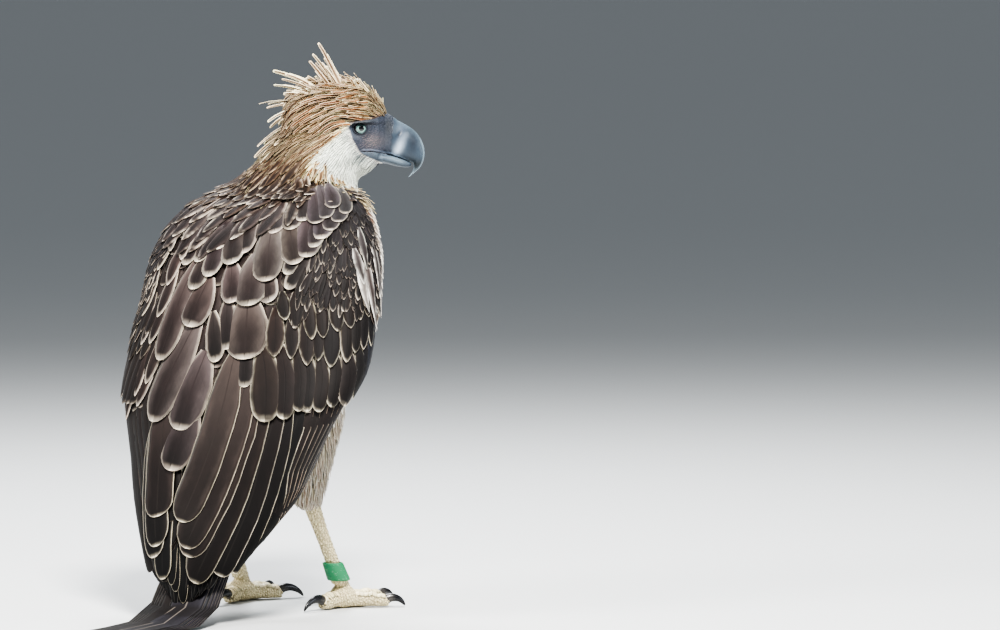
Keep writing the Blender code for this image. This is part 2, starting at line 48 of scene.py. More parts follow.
# ---------------------------------------------------------------- the view
YAW = math.radians(30)
PITCH = math.radians(3.0)
PIXEL = 0.00130                           # metres to a pixel of the picture, at the bird
DISTANCE = 6.0
FOCAL = DISTANCE / PIXEL
AHEAD = np.array([math.sin(YAW), -math.cos(YAW), 0.0])
RIGHT = np.array([-math.cos(YAW), -math.sin(YAW), 0.0])
ZED = np.array([0.0, 0.0, 1.0])
LOOK = AHEAD * math.cos(PITCH) - ZED * math.sin(PITCH)
LIFT = ZED * math.cos(PITCH) + AHEAD * math.sin(PITCH)
EYE_POINT = RIGHT * ((500 - 293.0) * PIXEL) + ZED * 0.3768 - LOOK * DISTANCE   # in the bird's own frame

# The head's own frame: forward is the picture's right, side is towards the viewer (the bird's right)
HEAD_AT = np.array([-0.040, -0.040, 0.6235])
SIDE = -AHEAD


def head_point(f, u, s):
    f, u, s = (np.asarray(q, float)[..., None] for q in (f, u, s))
    return HEAD_AT + RIGHT * f + ZED * u + SIDE * s


def head_local(p):
    d = np.asarray(p) - HEAD_AT
    return d @ RIGHT, d @ ZED, d @ SIDE


def head_px(px, py, s=0.0):
    """A point of the head's frame at a place in the picture."""
    px, py = np.asarray(px, float), np.asarray(py, float)
    return head_point((px - 335) * PIXEL, (125 - py) * PIXEL, np.broadcast_to(s, px.shape))


# ---------------------------------------------------------------- the closed wings' surface
SHELL = np.array((
    (0.000, 0.252, 0.012, 0.006), (0.015, 0.252, 0.026, 0.009), (0.041, 0.250, 0.052, 0.012), (0.079, 0.237, 0.0725, 0.020),
    (0.117, 0.209, 0.098, 0.040), (0.154, 0.182, 0.122, 0.055), (0.203, 0.163, 0.137, 0.064),
    (0.239, 0.155, 0.150, 0.060), (0.276, 0.140, 0.165, 0.062), (0.313, 0.112, 0.175, 0.075),
    (0.351, 0.096, 0.1755, 0.078), (0.402, 0.079, 0.169, 0.078), (0.452, 0.068, 0.1665, 0.062),
    (0.489, 0.056, 0.151, 0.045), (0.514, 0.044, 0.134, 0.032), (0.526, 0.034, 0.118, 0.026),
    (0.540, 0.010, 0.088, 0.030), (0.560, -0.004, 0.070, 0.034),
))
TRUNK = np.array((
    (0.112, 0.203, 0.168, 0.014), (0.135, 0.203, 0.138, 0.034), (0.165, 0.198, 0.092, 0.060),
    (0.203, 0.194, 0.044, 0.086), (0.239, 0.192, 0.008, 0.106), (0.276, 0.190, -0.020, 0.124),
    (0.313, 0.186, -0.043, 0.137), (0.351, 0.178, -0.060, 0.144), (0.402, 0.160, -0.074, 0.147),
    (0.452, 0.134, -0.077, 0.143), (0.489, 0.104, -0.075, 0.131), (0.514, 0.078, -0.071, 0.116),
    (0.532, 0.056, -0.068, 0.096), (0.546, 0.036, -0.060, 0.066),
))
WING_Z = (0.012, 0.06, 0.12, 0.20, 0.28, 0.32, 0.36, 0.40, 0.44, 0.48, 0.52, 0.536)
WING_FRONT = (82, 92, 100, 105, 108, 111, 115, 117, 117, 114, 104, 92)
HEAD = np.array((
    (-0.064, 0.020, -0.034, 0.020), (-0.056, 0.034, -0.050, 0.032), (-0.040, 0.046, -0.062, 0.041),
    (-0.020, 0.0535, -0.069, 0.046), (0.000, 0.057, -0.074, 0.048), (0.018, 0.0588, -0.073, 0.045),
    (0.034, 0.0555, -0.0665, 0.039), (0.046, 0.0470, -0.060, 0.034), (0.055, 0.0362, -0.0525, 0.029),
    (0.063, 0.0270, -0.044, 0.0235), (0.070, 0.0150, -0.036, 0.0165),
))
BILL_UPPER = np.array((
    (0.0600, 0.0158, 0.0600, -0.0366, 0.0128), (0.0665, 0.0152, 0.0665, -0.0380, 0.0134), (0.0741, 0.0117, 0.0735, -0.0396, 0.0131),
    (0.0819, 0.0058, 0.0806, -0.0416, 0.0126), (0.0904, 0.0013, 0.0878, -0.0446, 0.0119), (0.0988, -0.0039, 0.0943, -0.0468, 0.0110),
    (0.1066, -0.0108, 0.0995, -0.0481, 0.0099), (0.1125, -0.0202, 0.1017, -0.0497, 0.0088), (0.1161, -0.0319, 0.1022, -0.0517, 0.0077),
    (0.1157, -0.0429, 0.1024, -0.0543, 0.0064), (0.1118, -0.0533, 0.1014, -0.0579, 0.0048), (0.1050, -0.0605, 0.0996, -0.0621, 0.0028),
    (0.0962, -0.0675, 0.0950, -0.0680, 0.0006),
))
BILL_LOWER = np.array((
    (0.0450, -0.0355, 0.0450, -0.0475, 0.0098), (0.0560, -0.0362, 0.0560, -0.0488, 0.0112), (0.0660, -0.0376, 0.0665, -0.0502, 0.0108),
    (0.0770, -0.0402, 0.0780, -0.0532, 0.0100), (0.0870, -0.0436, 0.0885, -0.0550, 0.0084), (0.0945, -0.0462, 0.0958, -0.0548, 0.0060),
    (0.0990, -0.0490, 0.0993, -0.0525, 0.0024),
))
EYE_AT = (0.0332, -0.0039, 0.0272)
EYE_RADIUS = 0.0112
NECK = np.array((
    (0.530, 0.004, -0.012, 0.082, 0.062), (0.546, 0.000, -0.013, 0.076, 0.058), (0.562, -0.008, -0.016, 0.070, 0.055),
    (0.582, -0.018, -0.022, 0.064, 0.052), (0.602, -0.026, -0.029, 0.056, 0.048), (0.620, -0.032, -0.034, 0.040, 0.036),
))
TAIL = np.array((
    (0.172, 0.238, 0.026, 0.012), (0.180, 0.205, 0.034, 0.014), (0.193, 0.165, 0.040, 0.013), (0.205, 0.130, 0.043, 0.012),
    (0.215, 0.098, 0.045, 0.011), (0.225, 0.070, 0.046, 0.010), (0.238, 0.045, 0.047, 0.0095), (0.256, 0.024, 0.049, 0.009),
    (0.282, 0.0095, 0.051, 0.0085), (0.315, 0.0044, 0.054, 0.0080), (0.355, 0.0040, 0.057, 0.0074), (0.395, 0.0035, 0.060, 0.0066),
    (0.432, 0.0030, 0.062, 0.0056), (0.462, 0.0024, 0.062, 0.0044),
))
THIGH = np.array((
    (0.312, 0.052, 0.026, 0.030, 0.036), (0.272, 0.052, 0.036, 0.042, 0.050), (0.238, 0.052, 0.048, 0.042, 0.052), (0.206, 0.054, 0.056, 0.036, 0.044),
    (0.178, 0.058, 0.061, 0.029, 0.034), (0.154, 0.062, 0.064, 0.0215, 0.024), (0.136, 0.065, 0.065, 0.0150, 0.0160),
))
SHANK = np.array((
    (0.170, 0.0650, 0.0660, 0.0110, 0.0120), (0.148, 0.0652, 0.0660, 0.0122, 0.0140), (0.130, 0.0668, 0.0575, 0.0104, 0.0116),
    (0.104, 0.0695, 0.0450, 0.0090, 0.0098), (0.076, 0.0725, 0.0310, 0.0088, 0.0094), (0.050, 0.0752, 0.0180, 0.0094, 0.0100),
    (0.031, 0.0772, 0.0085, 0.0112, 0.0120),
))
FOOT_AT = (0.0780, 0.004)
PAD_RADIUS = (0.0175, 0.0185, 0.0165)
PAD_Z = 0.0145
TOES = (
    ("inner", -34, 0.056, 0.0118, 0.0096, 0.043), ("middle", 8, 0.078, 0.0114, 0.0088, 0.036),
    ("outer", 54, 0.060, 0.0108, 0.0086, 0.030), ("hind", 188, 0.042, 0.0118, 0.0100, 0.047),
)
BAND_FROM, BAND_TO, BAND_GAP, BAND_WALL = 0.036, 0.060, 0.0011, 0.0026


def smoothed(rows, steps=400, spread=21):
    """The rows resampled evenly over their first column and rounded off between stations."""
    rows = rows if rows[0, 0] < rows[-1, 0] else rows[::-1]
    at = np.linspace(rows[0, 0], rows[-1, 0], steps)
    out = [at]
    half = spread // 2
    kernel = np.hanning(spread + 2)[1:-1]
    kernel /= kernel.sum()
    for c in range(1, rows.shape[1]):
        y = np.interp(at, rows[:, 0], rows[:, c])
        padded = np.concatenate([2 * y[0] - y[half:0:-1], y, 2 * y[-1] - y[-2:-half - 2:-1]])
        out.append(np.convolve(padded, kernel, "valid"))
    return np.array(out).T


def look_up(fine, at):
    return [np.interp(at, fine[:, 0], fine[:, c]) for c in range(1, fine.shape[1])]


SHELL_FINE = smoothed(SHELL, 500, 51)
TRUNK_FINE = smoothed(TRUNK)
NECK_FINE = smoothed(NECK)
THIGH_FINE = smoothed(THIGH)
SHANK_FINE = smoothed(SHANK)


def shell(z, phi, off=0.0):
    """Points of the closed wings' surface: height, degrees round from the tail side (positive to the bird's left), distance outwards."""
    z, phi = np.asarray(z, float), np.asarray(phi, float)
    yc, a, b = look_up(SHELL_FINE, z)
    t = np.radians(phi)
    s, c = np.sin(t), np.cos(t)
    nx, ny = s * b, c * a
    n = np.hypot(nx, ny) + 1e-9
    return np.stack([a * s + nx / n * off, yc + b * c + ny / n * off, z + 0 * phi + 0 * np.asarray(off)], -1)


GRID_Z, GRID_P = np.meshgrid(np.linspace(0.004, 0.556, 277), np.linspace(-128, 100, 305), indexing="ij")
_rel = shell(GRID_Z, GRID_P) - EYE_POINT
_w = _rel @ LOOK
GRID_X, GRID_Y = 500 + FOCAL * (_rel @ RIGHT) / _w, 315 - FOCAL * (_rel @ LIFT) / _w
_t = np.radians(GRID_P)
_yc, _a, _b = look_up(SHELL_FINE, GRID_Z)
GRID_BACK = np.where((np.stack([np.sin(_t) * _b, np.cos(_t) * _a, 0 * _a], -1) @ SIDE) < -1e-4, 400.0, 0.0)


def seen(points):
    """(height, degrees) of the wing surface's points seen at these places in the picture; past the outline, the nearest."""
    out = []
    for x, y in points:
        d = (GRID_X - x) ** 2 + (GRID_Y - y) ** 2 + GRID_BACK
        i, j = np.unravel_index(np.argmin(d), d.shape)
        out.append((GRID_Z[i, j], GRID_P[i, j]))
    return np.array(out)


# ---------------------------------------------------------------- colours and nodes
def rgb(r, g, b):
    """A colour given as the eye reads it, 0 to 255, made linear."""
    c = np.array((r, g, b), float) / 255
    return tuple(np.where(c <= 0.04045, c / 12.92, ((c + 0.055) / 1.055) ** 2.4))


class Nodes:
    """Short ways to add shader nodes."""

    def __init__(self, name):
        self.material = bpy.data.materials.new(name)
        self.material.use_nodes = True
        self.tree = self.material.node_tree
        self.shader = self.tree.nodes["Principled BSDF"]

    def put(self, socket, value):
        if hasattr(value, "is_output"):
            self.tree.links.new(value, socket)
        elif value is not None:
            if hasattr(socket.default_value, "__len__") and not hasattr(value, "__len__"):
                value = (value,) * len(socket.default_value)
            if hasattr(value, "__len__") and len(value) == 3 and len(socket.default_value) == 4:
                value = (*value, 1)
            socket.default_value = value

    def node(self, kind, outputs=0, settings=None, **inputs):
        made = self.tree.nodes.new(kind)
        for key, value in (settings or {}).items():
            setattr(made, key, value)
        for key, value in inputs.items():
            self.put(made.inputs[key.replace("_", " ")] if not key.startswith("i") or not key[1:].isdigit() else made.inputs[int(key[1:])], value)
        return made.outputs[outputs]

    def math(self, operation, a, b=None, c=None, clamp=False):
        return self.node("ShaderNodeMath", 0, {"operation": operation, "use_clamp": clamp}, i0=a, i1=b, i2=c)

    def ramp(self, value, low, high, smooth=True):
        """0 at low to 1 at high; low may be the larger."""
        made = self.tree.nodes.new("ShaderNodeMapRange")
        made.interpolation_type = "SMOOTHSTEP" if smooth else "LINEAR"
        flip = not hasattr(low, "is_output") and not hasattr(high, "is_output") and low > high
        self.put(made.inputs[0], value)
        self.put(made.inputs[1], high if flip else low)
        self.put(made.inputs[2], low if flip else high)
        made.inputs[3].default_value, made.inputs[4].default_value = (1, 0) if flip else (0, 1)
        return made.outputs[0]

    def mix(self, factor, a, b, blend="MIX"):
        made = self.tree.nodes.new("ShaderNodeMix")
        made.data_type = "RGBA"
        made.blend_type = blend
        self.put(made.inputs[0], factor)
        self.put(made.inputs[6], a)
        self.put(made.inputs[7], b)
        return made.outputs[2]

    def vector(self, x, y, z=0.0):
        return self.node("ShaderNodeCombineXYZ", 0, None, i0=x, i1=y, i2=z)

    def noise(self, where, scale, detail=3.0, rough=0.5, out=0, dims="3D", **more):
        return self.node("ShaderNodeTexNoise", out, {"noise_dimensions": dims}, Vector=where, Scale=scale, Detail=detail, Roughness=rough, **more)

    def place(self):
        return self.node("ShaderNodeTexCoord", 3)

    def bump(self, height, strength, distance, before=None):
        return self.node("ShaderNodeBump", 0, None, Height=height, Strength=strength, Distance=distance, Normal=before)

    def attribute(self, name, out):
        return self.node("ShaderNodeAttribute", out, {"attribute_name": name})

    def finish(self, colour, rough, normal=None, **more):
        self.put(self.shader.inputs["Base Color"], colour)
        self.put(self.shader.inputs["Roughness"], rough)
        if normal is not None:
            self.put(self.shader.inputs["Normal"], normal)
        for key, value in more.items():
            self.put(self.shader.inputs[key.replace("_", " ")], value)
        return self.material


def vane_material(name, centre=(0.95, 0.15), shaft=0.05, streak=0.30, dusk=(0.30, 0.22, 0.24), rough=0.62, barbs=0.35, soft=3.2, line=(1.25, 0.45), blushing=0.34, patchy=0.25, fade=0.60, deep=0.52, come_at=(0.60, 0.38)):
    """Feathers: each point carries its place across and along the vane, its distance in from the edge, and the feather's own colours."""
    n = Nodes(name)
    vane = n.node("ShaderNodeSeparateXYZ", 0, None, Vector=n.attribute("vane", 1)).node
    u, v, e = vane.outputs
    tint, rim, par = n.attribute("tint", 0), n.attribute("rim", 0), n.attribute("par", 0)
    ratio, shafted, bars = n.attribute("tint", 3), n.attribute("rim", 3), n.attribute("par", 3)
    parts = n.node("ShaderNodeSeparateColor", 0, None, Color=par).node
    fringe, dark, own = parts.outputs
    au = n.math("ABSOLUTE", u)
    along = n.math("MULTIPLY", v, n.math("MULTIPLY", ratio, 10.0))
    slant = n.math("SUBTRACT", n.math("MULTIPLY", along, 2.0), n.math("MULTIPLY", au, 1.1))
    seed = n.math("MULTIPLY", own, 53.0)
    sign = n.math("SIGN", u)
    barb = n.noise(n.vector(n.math("MULTIPLY", slant, 11.0), seed, sign), 1.0, 2.0, 0.6)
    broad = n.noise(n.vector(n.math("MULTIPLY", u, 1.2), n.math("MULTIPLY", along, 1.1), seed), 1.6, 3.0, 0.6)
    clump = n.noise(n.vector(n.math("MULTIPLY", slant, 2.4), seed, sign), 1.0, 2.0, 0.6)
    # the colour inside: lighter at the root and towards the edge, dusky along the middle
    tone = n.math("ADD", n.math("MULTIPLY", n.math("SUBTRACT", broad, 0.5), 0.7), n.math("MULTIPLY", n.math("SUBTRACT", barb, 0.5), barbs))
    tone = n.math("ADD", tone, n.math("MULTIPLY", n.math("SUBTRACT", 0.6, v), fade))
    level = n.math("MULTIPLY", n.math("ADD", 1.0, tone), deep)
    lit = n.mix(1.0, tint, n.node("ShaderNodeCombineColor", 0, None, i0=level, i1=level, i2=level), "MULTIPLY")
    middle = n.math("MULTIPLY", n.ramp(n.math("ADD", au, n.math("MULTIPLY", n.math("SUBTRACT", broad, 0.5), 0.5)), *centre), n.math("MULTIPLY", dark, n.ramp(v, -0.30, 0.70)))
    colour = n.mix(middle, lit, n.mix(1.0, lit, dusk, "MULTIPLY"))
    # the rim: a wide soft blush and a clear fringe with a slightly ragged inner side
    ragged = n.math("ADD", e, n.math("MULTIPLY", n.math("SUBTRACT", clump, 0.5), n.math("MULTIPLY", fringe, 0.9)))
    has = n.ramp(fringe, 0.02, 0.2)
    come = n.noise(n.vector(n.math("MULTIPLY", v, 3.2), seed, n.math("MULTIPLY", sign, 4.0)), 1.0, 2.0, 0.5)
    has = n.math("MULTIPLY", has, n.math("SUBTRACT", 1.0, n.math("MULTIPLY", n.ramp(come, *come_at), patchy)))
    blush = n.math("MULTIPLY", n.math("MULTIPLY", n.ramp_to(ragged, n.math("MULTIPLY", fringe, soft), 0.0), blushing), has)
    colour = n.mix(blush, colour, rim)
    clear = n.math("MULTIPLY", n.ramp_to(ragged, n.math("MULTIPLY", fringe, line[0]), n.math("MULTIPLY", fringe, line[1])), has)
    colour = n.mix(n.math("MULTIPLY", clear, 0.95), colour, rim)
    # bars across, on flight feathers that have them
    wave = n.math("SINE", n.math("ADD", n.math("MULTIPLY", v, n.math("MULTIPLY", bars, 62.83)), n.math("MULTIPLY", broad, 1.6)))
    barred = n.math("MULTIPLY", n.ramp(wave, 0.15, 0.6), n.ramp(bars, 0.02, 0.1))
    colour = n.mix(n.math("MULTIPLY", barred, 0.72), colour, (0.012, 0.010, 0.010))
    # the shaft, pale or dark
    rib = n.math("MULTIPLY", n.ramp(au, shaft * 1.3, shaft * 0.5), n.ramp(v, 0.985, 0.90))
    shade = n.mix(shafted, n.mix(1.0, lit, (0.28, 0.22, 0.22), "MULTIPLY"), n.mix(0.5, rim, (0.75, 0.66, 0.56)))
    colour = n.mix(n.math("MULTIPLY", rib, 0.75), colour, shade)
    height = n.math("ADD", n.math("MULTIPLY", barb, 0.5), n.math("MULTIPLY", rib, 0.8))
    normal = n.bump(height, streak, 0.0006)
    n.put(n.shader.inputs["Sheen Weight"], 0.05)
    n.put(n.shader.inputs["Sheen Roughness"], 0.45)
    n.put(n.shader.inputs["Specular IOR Level"], 0.24)
    return n.finish(colour, rough, normal)


def ramp_to(self, value, start, end):
    """0 at start to 1 at end, where either may be a socket and start is the larger."""
    below = self.math("SUBTRACT", start, value)
    span = self.math("MAXIMUM", self.math("SUBTRACT", start, end), 0.0001)
    t = self.math("DIVIDE", below, span, clamp=True)
    return self.math("MULTIPLY", self.math("MULTIPLY", t, t), self.math("SUBTRACT", 3.0, self.math("MULTIPLY", t, 2.0)))


Nodes.ramp_to = ramp_to


# ---------------------------------------------------------------- vanes
class Coat:
    """Many feathers in one mesh, with what the material and the texture map need at each point."""

    def __init__(self, name, patches=False):
        self.name, self.patches = name, patches
        self.co, self.quads, self.tris = [], [], []
        self.data = {"vane": [], "tint": [], "rim": [], "par": [], "spot": [], "cell": []}
        self.points = 0
        self.feathers = 0

    def add(self, co, quads, tris, vane, tint, rim, par, spot, cell):
        """co: (feathers, points, 3); the rest per feather and point; spot: the root's place on the skin's unwrap; cell: the place inside the feather's own patch."""
        f, p = co.shape[:2]
        base = self.points + np.arange(f)[:, None, None] * p
        self.quads.append((base + quads[None]).reshape(-1, 4))
        self.tris.append((base + tris[None]).reshape(-1, 3))
        self.co.append(co.reshape(-1, 3))
        for key, value, width in (("vane", vane, 3), ("tint", tint, 4), ("rim", rim, 4), ("par", par, 4), ("spot", spot, 2), ("cell", cell, 2)):
            self.data[key].append(np.broadcast_to(value, (f, p, width)).reshape(-1, width))
        self.points += f * p
        self.feathers += f
        self.per = getattr(self, "per", []) + [p] * f


def lens(nu):
    """Across positions and side (+1 upper, -1 lower) round one station's ring."""
    u = np.linspace(-1, 1, nu)
    return np.concatenate([u, u[-2:0:-1]]), np.concatenate([[0], np.ones(nu - 2), [0], -np.ones(nu - 2)])


def lens_faces(ring, stations):
    quads = [(k * ring + i, k * ring + (i + 1) % ring, (k + 1) * ring + (i + 1) % ring, (k + 1) * ring + i) for k in range(stations - 1) for i in range(ring)]
    n = stations * ring
    tris = []
    for i in range(ring):
        j = (i + 1) % ring
        tris += [(n, j, i), (n + 1, (stations - 1) * ring + i, (stations - 1) * ring + j)]
    return np.array(quads), np.array(tris)


def profile(v, kind):
    """Half width along a feather, as a share of its greatest."""
    if kind == "round":
        return (0.34 + 0.66 * np.clip(v / 0.45, 0, 1) ** 0.7) * np.sqrt(np.clip(1 - np.clip((v - 0.64) / 0.36, 0, 1) ** 2.2, 0, 1))
    if kind == "long":
        return (0.30 + 0.70 * np.clip(v / 0.30, 0, 1) ** 0.6) * np.sqrt(np.clip(1 - np.clip((v - 0.86) / 0.14, 0, 1) ** 2.1, 0, 1))
    if kind == "quill":
        return (0.30 + 0.70 * np.clip(v / 0.25, 0, 1) ** 0.6) * np.clip(1 - 0.35 * np.clip((v - 0.5) / 0.5, 0, 1) - 0.65 * np.clip((v - 0.80) / 0.20, 0, 1) ** 2.0, 0, 1)
    if kind == "lance":
        return (0.40 + 0.60 * np.clip(v / 0.30, 0, 1) ** 0.8) * (1 - np.clip((v - 0.35) / 0.65, 0, 1) ** 1.6 * 0.93)
    if kind == "strand":
        return (0.75 + 0.25 * np.clip(v / 0.25, 0, 1)) * (1 - 0.45 * v) * np.sqrt(np.clip(1 - np.clip((v - 0.93) / 0.07, 0, 1) ** 2 * 0.7, 0, 1))
    if kind == "plate":
        return 1 - 0.28 * np.abs(2 * v - 1) ** 5
    if kind == "stud":
        return np.sqrt(np.clip(1 - (2 * v - 1) ** 2, 0, 1))
    return (0.36 + 0.64 * np.clip(v / 0.42, 0, 1) ** 0.7) * (1 - np.clip((v - 0.52) / 0.48, 0, 1) ** 2.1) ** 0.70


STATIONS = {
    "round": np.array([0.0, 0.2, 0.4, 0.55, 0.67, 0.77, 0.85, 0.91, 0.955, 0.985]),
    "long": np.array([0.0, 0.08, 0.18, 0.30, 0.42, 0.54, 0.66, 0.77, 0.86, 0.91, 0.95, 0.978, 0.994]),
    "quill": np.array([0.0, 0.08, 0.18, 0.30, 0.42, 0.54, 0.66, 0.77, 0.86, 0.92, 0.965]),
    "point": np.array([0.0, 0.25, 0.48, 0.64, 0.78, 0.90, 0.97]),
    "lance": np.array([0.0, 0.22, 0.42, 0.62, 0.82, 0.95]),
    "strand": np.array([0.0, 0.14, 0.28, 0.42, 0.56, 0.70, 0.84, 0.95, 0.985]),
    "small": np.array([0.0, 0.35, 0.65, 0.88]),
    "plate": np.array([0.0, 0.15, 0.5, 0.85, 0.985]),
    "stud": np.array([0.04, 0.22, 0.5, 0.78, 0.96]),
}


def full(f, value, width, last=1.0):
    value = np.asarray(value, float)
    if value.ndim == 1:
        value = np.broadcast_to(value, (f, len(value)))
    out = np.full((f, width), last, float)
    out[:, :value.shape[1]] = value
    return out


def per(f, *values):
    return [np.broadcast_to(np.asarray(value, float), (f,)) for value in values]


def fill_in(coat, place, length, width, kind, nu, f, tint, rim, fringe, dark, bars, shafted, thick, arch, spot, wave=0.0):
    """Shared by every way of laying a feather: place(V, side offset) gives its points and their outward normals."""
    vs = STATIONS[kind]
    us, tops = lens(nu)
    V = np.concatenate([np.repeat(vs, len(us)), [0.0, 1.0]])
    U = np.concatenate([np.tile(us, len(vs)), [0, 0]])
    T = np.concatenate([np.tile(tops, len(vs)), [0, 0]])
    shape = profile(V, "point" if kind == "small" else kind)
    shape[-2:] = 0
    w = shape[None] * width[:, None] / 2
    if wave:
        turn = rng.random((f, 1)) * 6.28
        w = w * (1 + wave * np.sin(V[None] * 21 + turn + np.sign(U)[None] * 1.7) * np.abs(U)[None])
    p, n = place(V, U[None] * w)
    flat = 1 - np.abs(U[None]) ** 2.0
    p = p + n * (T[None] * thick / 2 * np.maximum(flat, 0.0) - arch * width[:, None] * np.abs(U[None]) ** 2 * shape[None])[..., None]
    if kind in ("lance", "strand"):
        e = np.minimum((1 - np.abs(U))[None] * width[:, None] / 2 * (0.45 + 0.55 * shape)[None], (1 - V)[None] * length[:, None] * 0.25 + 0.0003)
    else:
        e = np.minimum((1 - np.abs(U))[None] * w * 1.35, (1 - V)[None] * length[:, None] * 0.60)
    vane = np.stack([np.broadcast_to(U, e.shape), np.broadcast_to(V, e.shape), e * 1000], -1)
    quads, tris = lens_faces(len(us), len(vs))
    ratio = (length / np.maximum(width, 1e-5)) / 10
    tint = full(f, tint, 4)
    tint[:, 3] = ratio
    rim = full(f, rim, 4)
    rim[:, 3] = shafted
    par = np.stack([fringe * 1000, dark, rng.random(f), bars], -1)
    cell = np.stack([0.5 + 0.46 * U, 0.03 + 0.94 * V], -1)[None]
    coat.add(p, quads, tris, vane, tint[:, None], rim[:, None], par[:, None], spot[:, None], cell)


def shell_frame(z, phi):
    e = 0.004
    p = shell(z, phi)
    dz = (shell(z + e, phi) - shell(z - e, phi)) / (2 * e)
    dp = (shell(z, phi + 1.0) - shell(z, phi - 1.0)) / 2.0
    n = np.cross(dz, dp)
    n /= np.linalg.norm(n, axis=-1, keepdims=True) + 1e-12
    out = np.stack([np.sin(np.radians(phi)), np.cos(np.radians(phi)), 0 * phi], -1)
    return p, dz, dp, n * np.sign((n * out).sum(-1, keepdims=True))


def shell_vanes(coat, root, tip, width, low, high, kind="round", nu=7, tint=(0.1, 0.08, 0.07), rim=(0.7, 0.6, 0.5), fringe=0.0016, dark=0.5,
                bars=0.0, shafted=0.0, arch=0.05, bend=0.0, thick=0.0008, lift=0.0, wave=0.02, route=None):
    """Feathers on the closed wings' surface from root to tip, both (height, degrees); low and high are the distances out at root and tip; bend bows them sideways."""
    root, tip = np.atleast_2d(root).astype(float), np.atleast_2d(tip).astype(float)
    f = len(root)
    width, low, high, fringe, dark, bars, bend, shafted, lift = per(f, width, low, high, fringe, dark, bars, bend, shafted, lift)
    step = tip - root
    half = (root + tip) / 2
    _, dz, dp, _ = shell_frame(half[:, 0], half[:, 1])
    length = np.linalg.norm(dz * step[:, 0:1] + dp * step[:, 1:2], axis=-1)

    def place(V, across):
        if route is None:
            path = root[:, None] + step[:, None] * V[None, :, None]
            slope = step[:, None]
        else:
            at = np.clip(V, 0, 1) * (route.shape[1] - 1)
            i = np.minimum(at.astype(int), route.shape[1] - 2)
            t = (at - i)[None, :, None]
            path = route[:, i] * (1 - t) + route[:, i + 1] * t
            rate = np.gradient(route, axis=1) * (route.shape[1] - 1)
            slope = rate[:, i] * (1 - t) + rate[:, i + 1] * t
        z, phi = path[..., 0], path[..., 1]
        p, dz, dp, n = shell_frame(z, phi)
        along = dz * slope[..., 0:1] + dp * slope[..., 1:2]
        along /= np.linalg.norm(along, axis=-1, keepdims=True) + 1e-12
        side = np.cross(n, along)
        move = side * (across + (bend * length)[:, None] * np.sin(math.pi * V)[None])[..., None]
        g11, g12, g22 = (dz * dz).sum(-1), (dz * dp).sum(-1), (dp * dp).sum(-1)
        r1, r2 = (dz * move).sum(-1), (dp * move).sum(-1)
        det = g11 * g22 - g12 ** 2 + 1e-18
        p2, _, _, n2 = shell_frame(z + (r1 * g22 - r2 * g12) / det, phi + (r2 * g11 - r1 * g12) / det)
        rise = low[:, None] + (high - low)[:, None] * V[None] ** 1.15 + lift[:, None] * np.clip(V[None] - 0.6, 0, 1) ** 2 * 6
        return p2 + n2 * rise[..., None], n2
    spot = np.stack([0.5 + root[:, 1] / 360, np.clip(root[:, 0] / 0.75, 0, 1)], -1)
    fill_in(coat, place, length, width, kind, nu, f, tint, rim, fringe, dark, bars, shafted, thick, arch, spot, wave)


def path_vanes(coat, P, N, width, low, high, kind="small", nu=3, tint=(0.1, 0.08, 0.07), rim=(0.7, 0.6, 0.5), fringe=0.0, dark=0.5,
               bars=0.0, shafted=0.0, arch=0.08, thick=0.0006, lift=0.0, wave=0.0, spot=None):
    """Feathers along given paths: P and N are (feathers, samples, 3), evenly spaced from root to tip."""
    f, m = P.shape[:2]
    width, low, high, fringe, dark, bars, shafted, lift = per(f, width, low, high, fringe, dark, bars, shafted, lift)
    length = np.linalg.norm(np.diff(P, axis=1), axis=-1).sum(1)

    def place(V, across):
        at = np.clip(V * (m - 1), 0, m - 1.0001)
        i = at.astype(int)
        t = (at - i)[None, :, None]
        prev, nxt = np.maximum(i - 1, 0), np.minimum(i + 2, m - 1)
        # a cubic through the samples, so that few samples still bend evenly
        a, b, c, d = P[:, prev], P[:, i], P[:, i + 1], P[:, nxt]
        p = 0.5 * (2 * b + (c - a) * t + (2 * a - 5 * b + 4 * c - d) * t ** 2 + (3 * b - a - 3 * c + d) * t ** 3)
        n = N[:, i] * (1 - t) + N[:, i + 1] * t
        tangent = (c - b)
        tangent /= np.linalg.norm(tangent, axis=-1, keepdims=True) + 1e-12
        n = n - tangent * (n * tangent).sum(-1, keepdims=True)
        n /= np.linalg.norm(n, axis=-1, keepdims=True) + 1e-12
        side = np.cross(n, tangent)
        rise = low[:, None] + (high - low)[:, None] * V[None] ** 1.15 + lift[:, None] * np.clip(V[None] - 0.4, 0, 1) ** 2 * 2.8
        return p + side * across[..., None] + n * rise[..., None], n
    if spot is None:
        spot = unwrap(P[:, 0])
    fill_in(coat, place, length, width, kind, nu, f, tint, rim, fringe, dark, bars, shafted, thick, arch, spot, wave)


def unwrap(p):
    """A place on the unwrap of the skin: round the body's own upright axis, and up it."""
    yc = np.interp(p[:, 2], (0.0, 0.2, 0.4, 0.55, 0.72), (0.10, 0.10, 0.04, -0.01, -0.03))
    xc = np.interp(p[:, 2], (0.50, 0.60, 0.72), (0.0, -0.03, -0.04))
    return np.stack([0.5 + np.arctan2(p[:, 0] - xc, p[:, 1] - yc) / (2 * math.pi) * 0.98, np.clip(0.01 + p[:, 2] / 0.76, 0, 1)], -1)


COATS = []


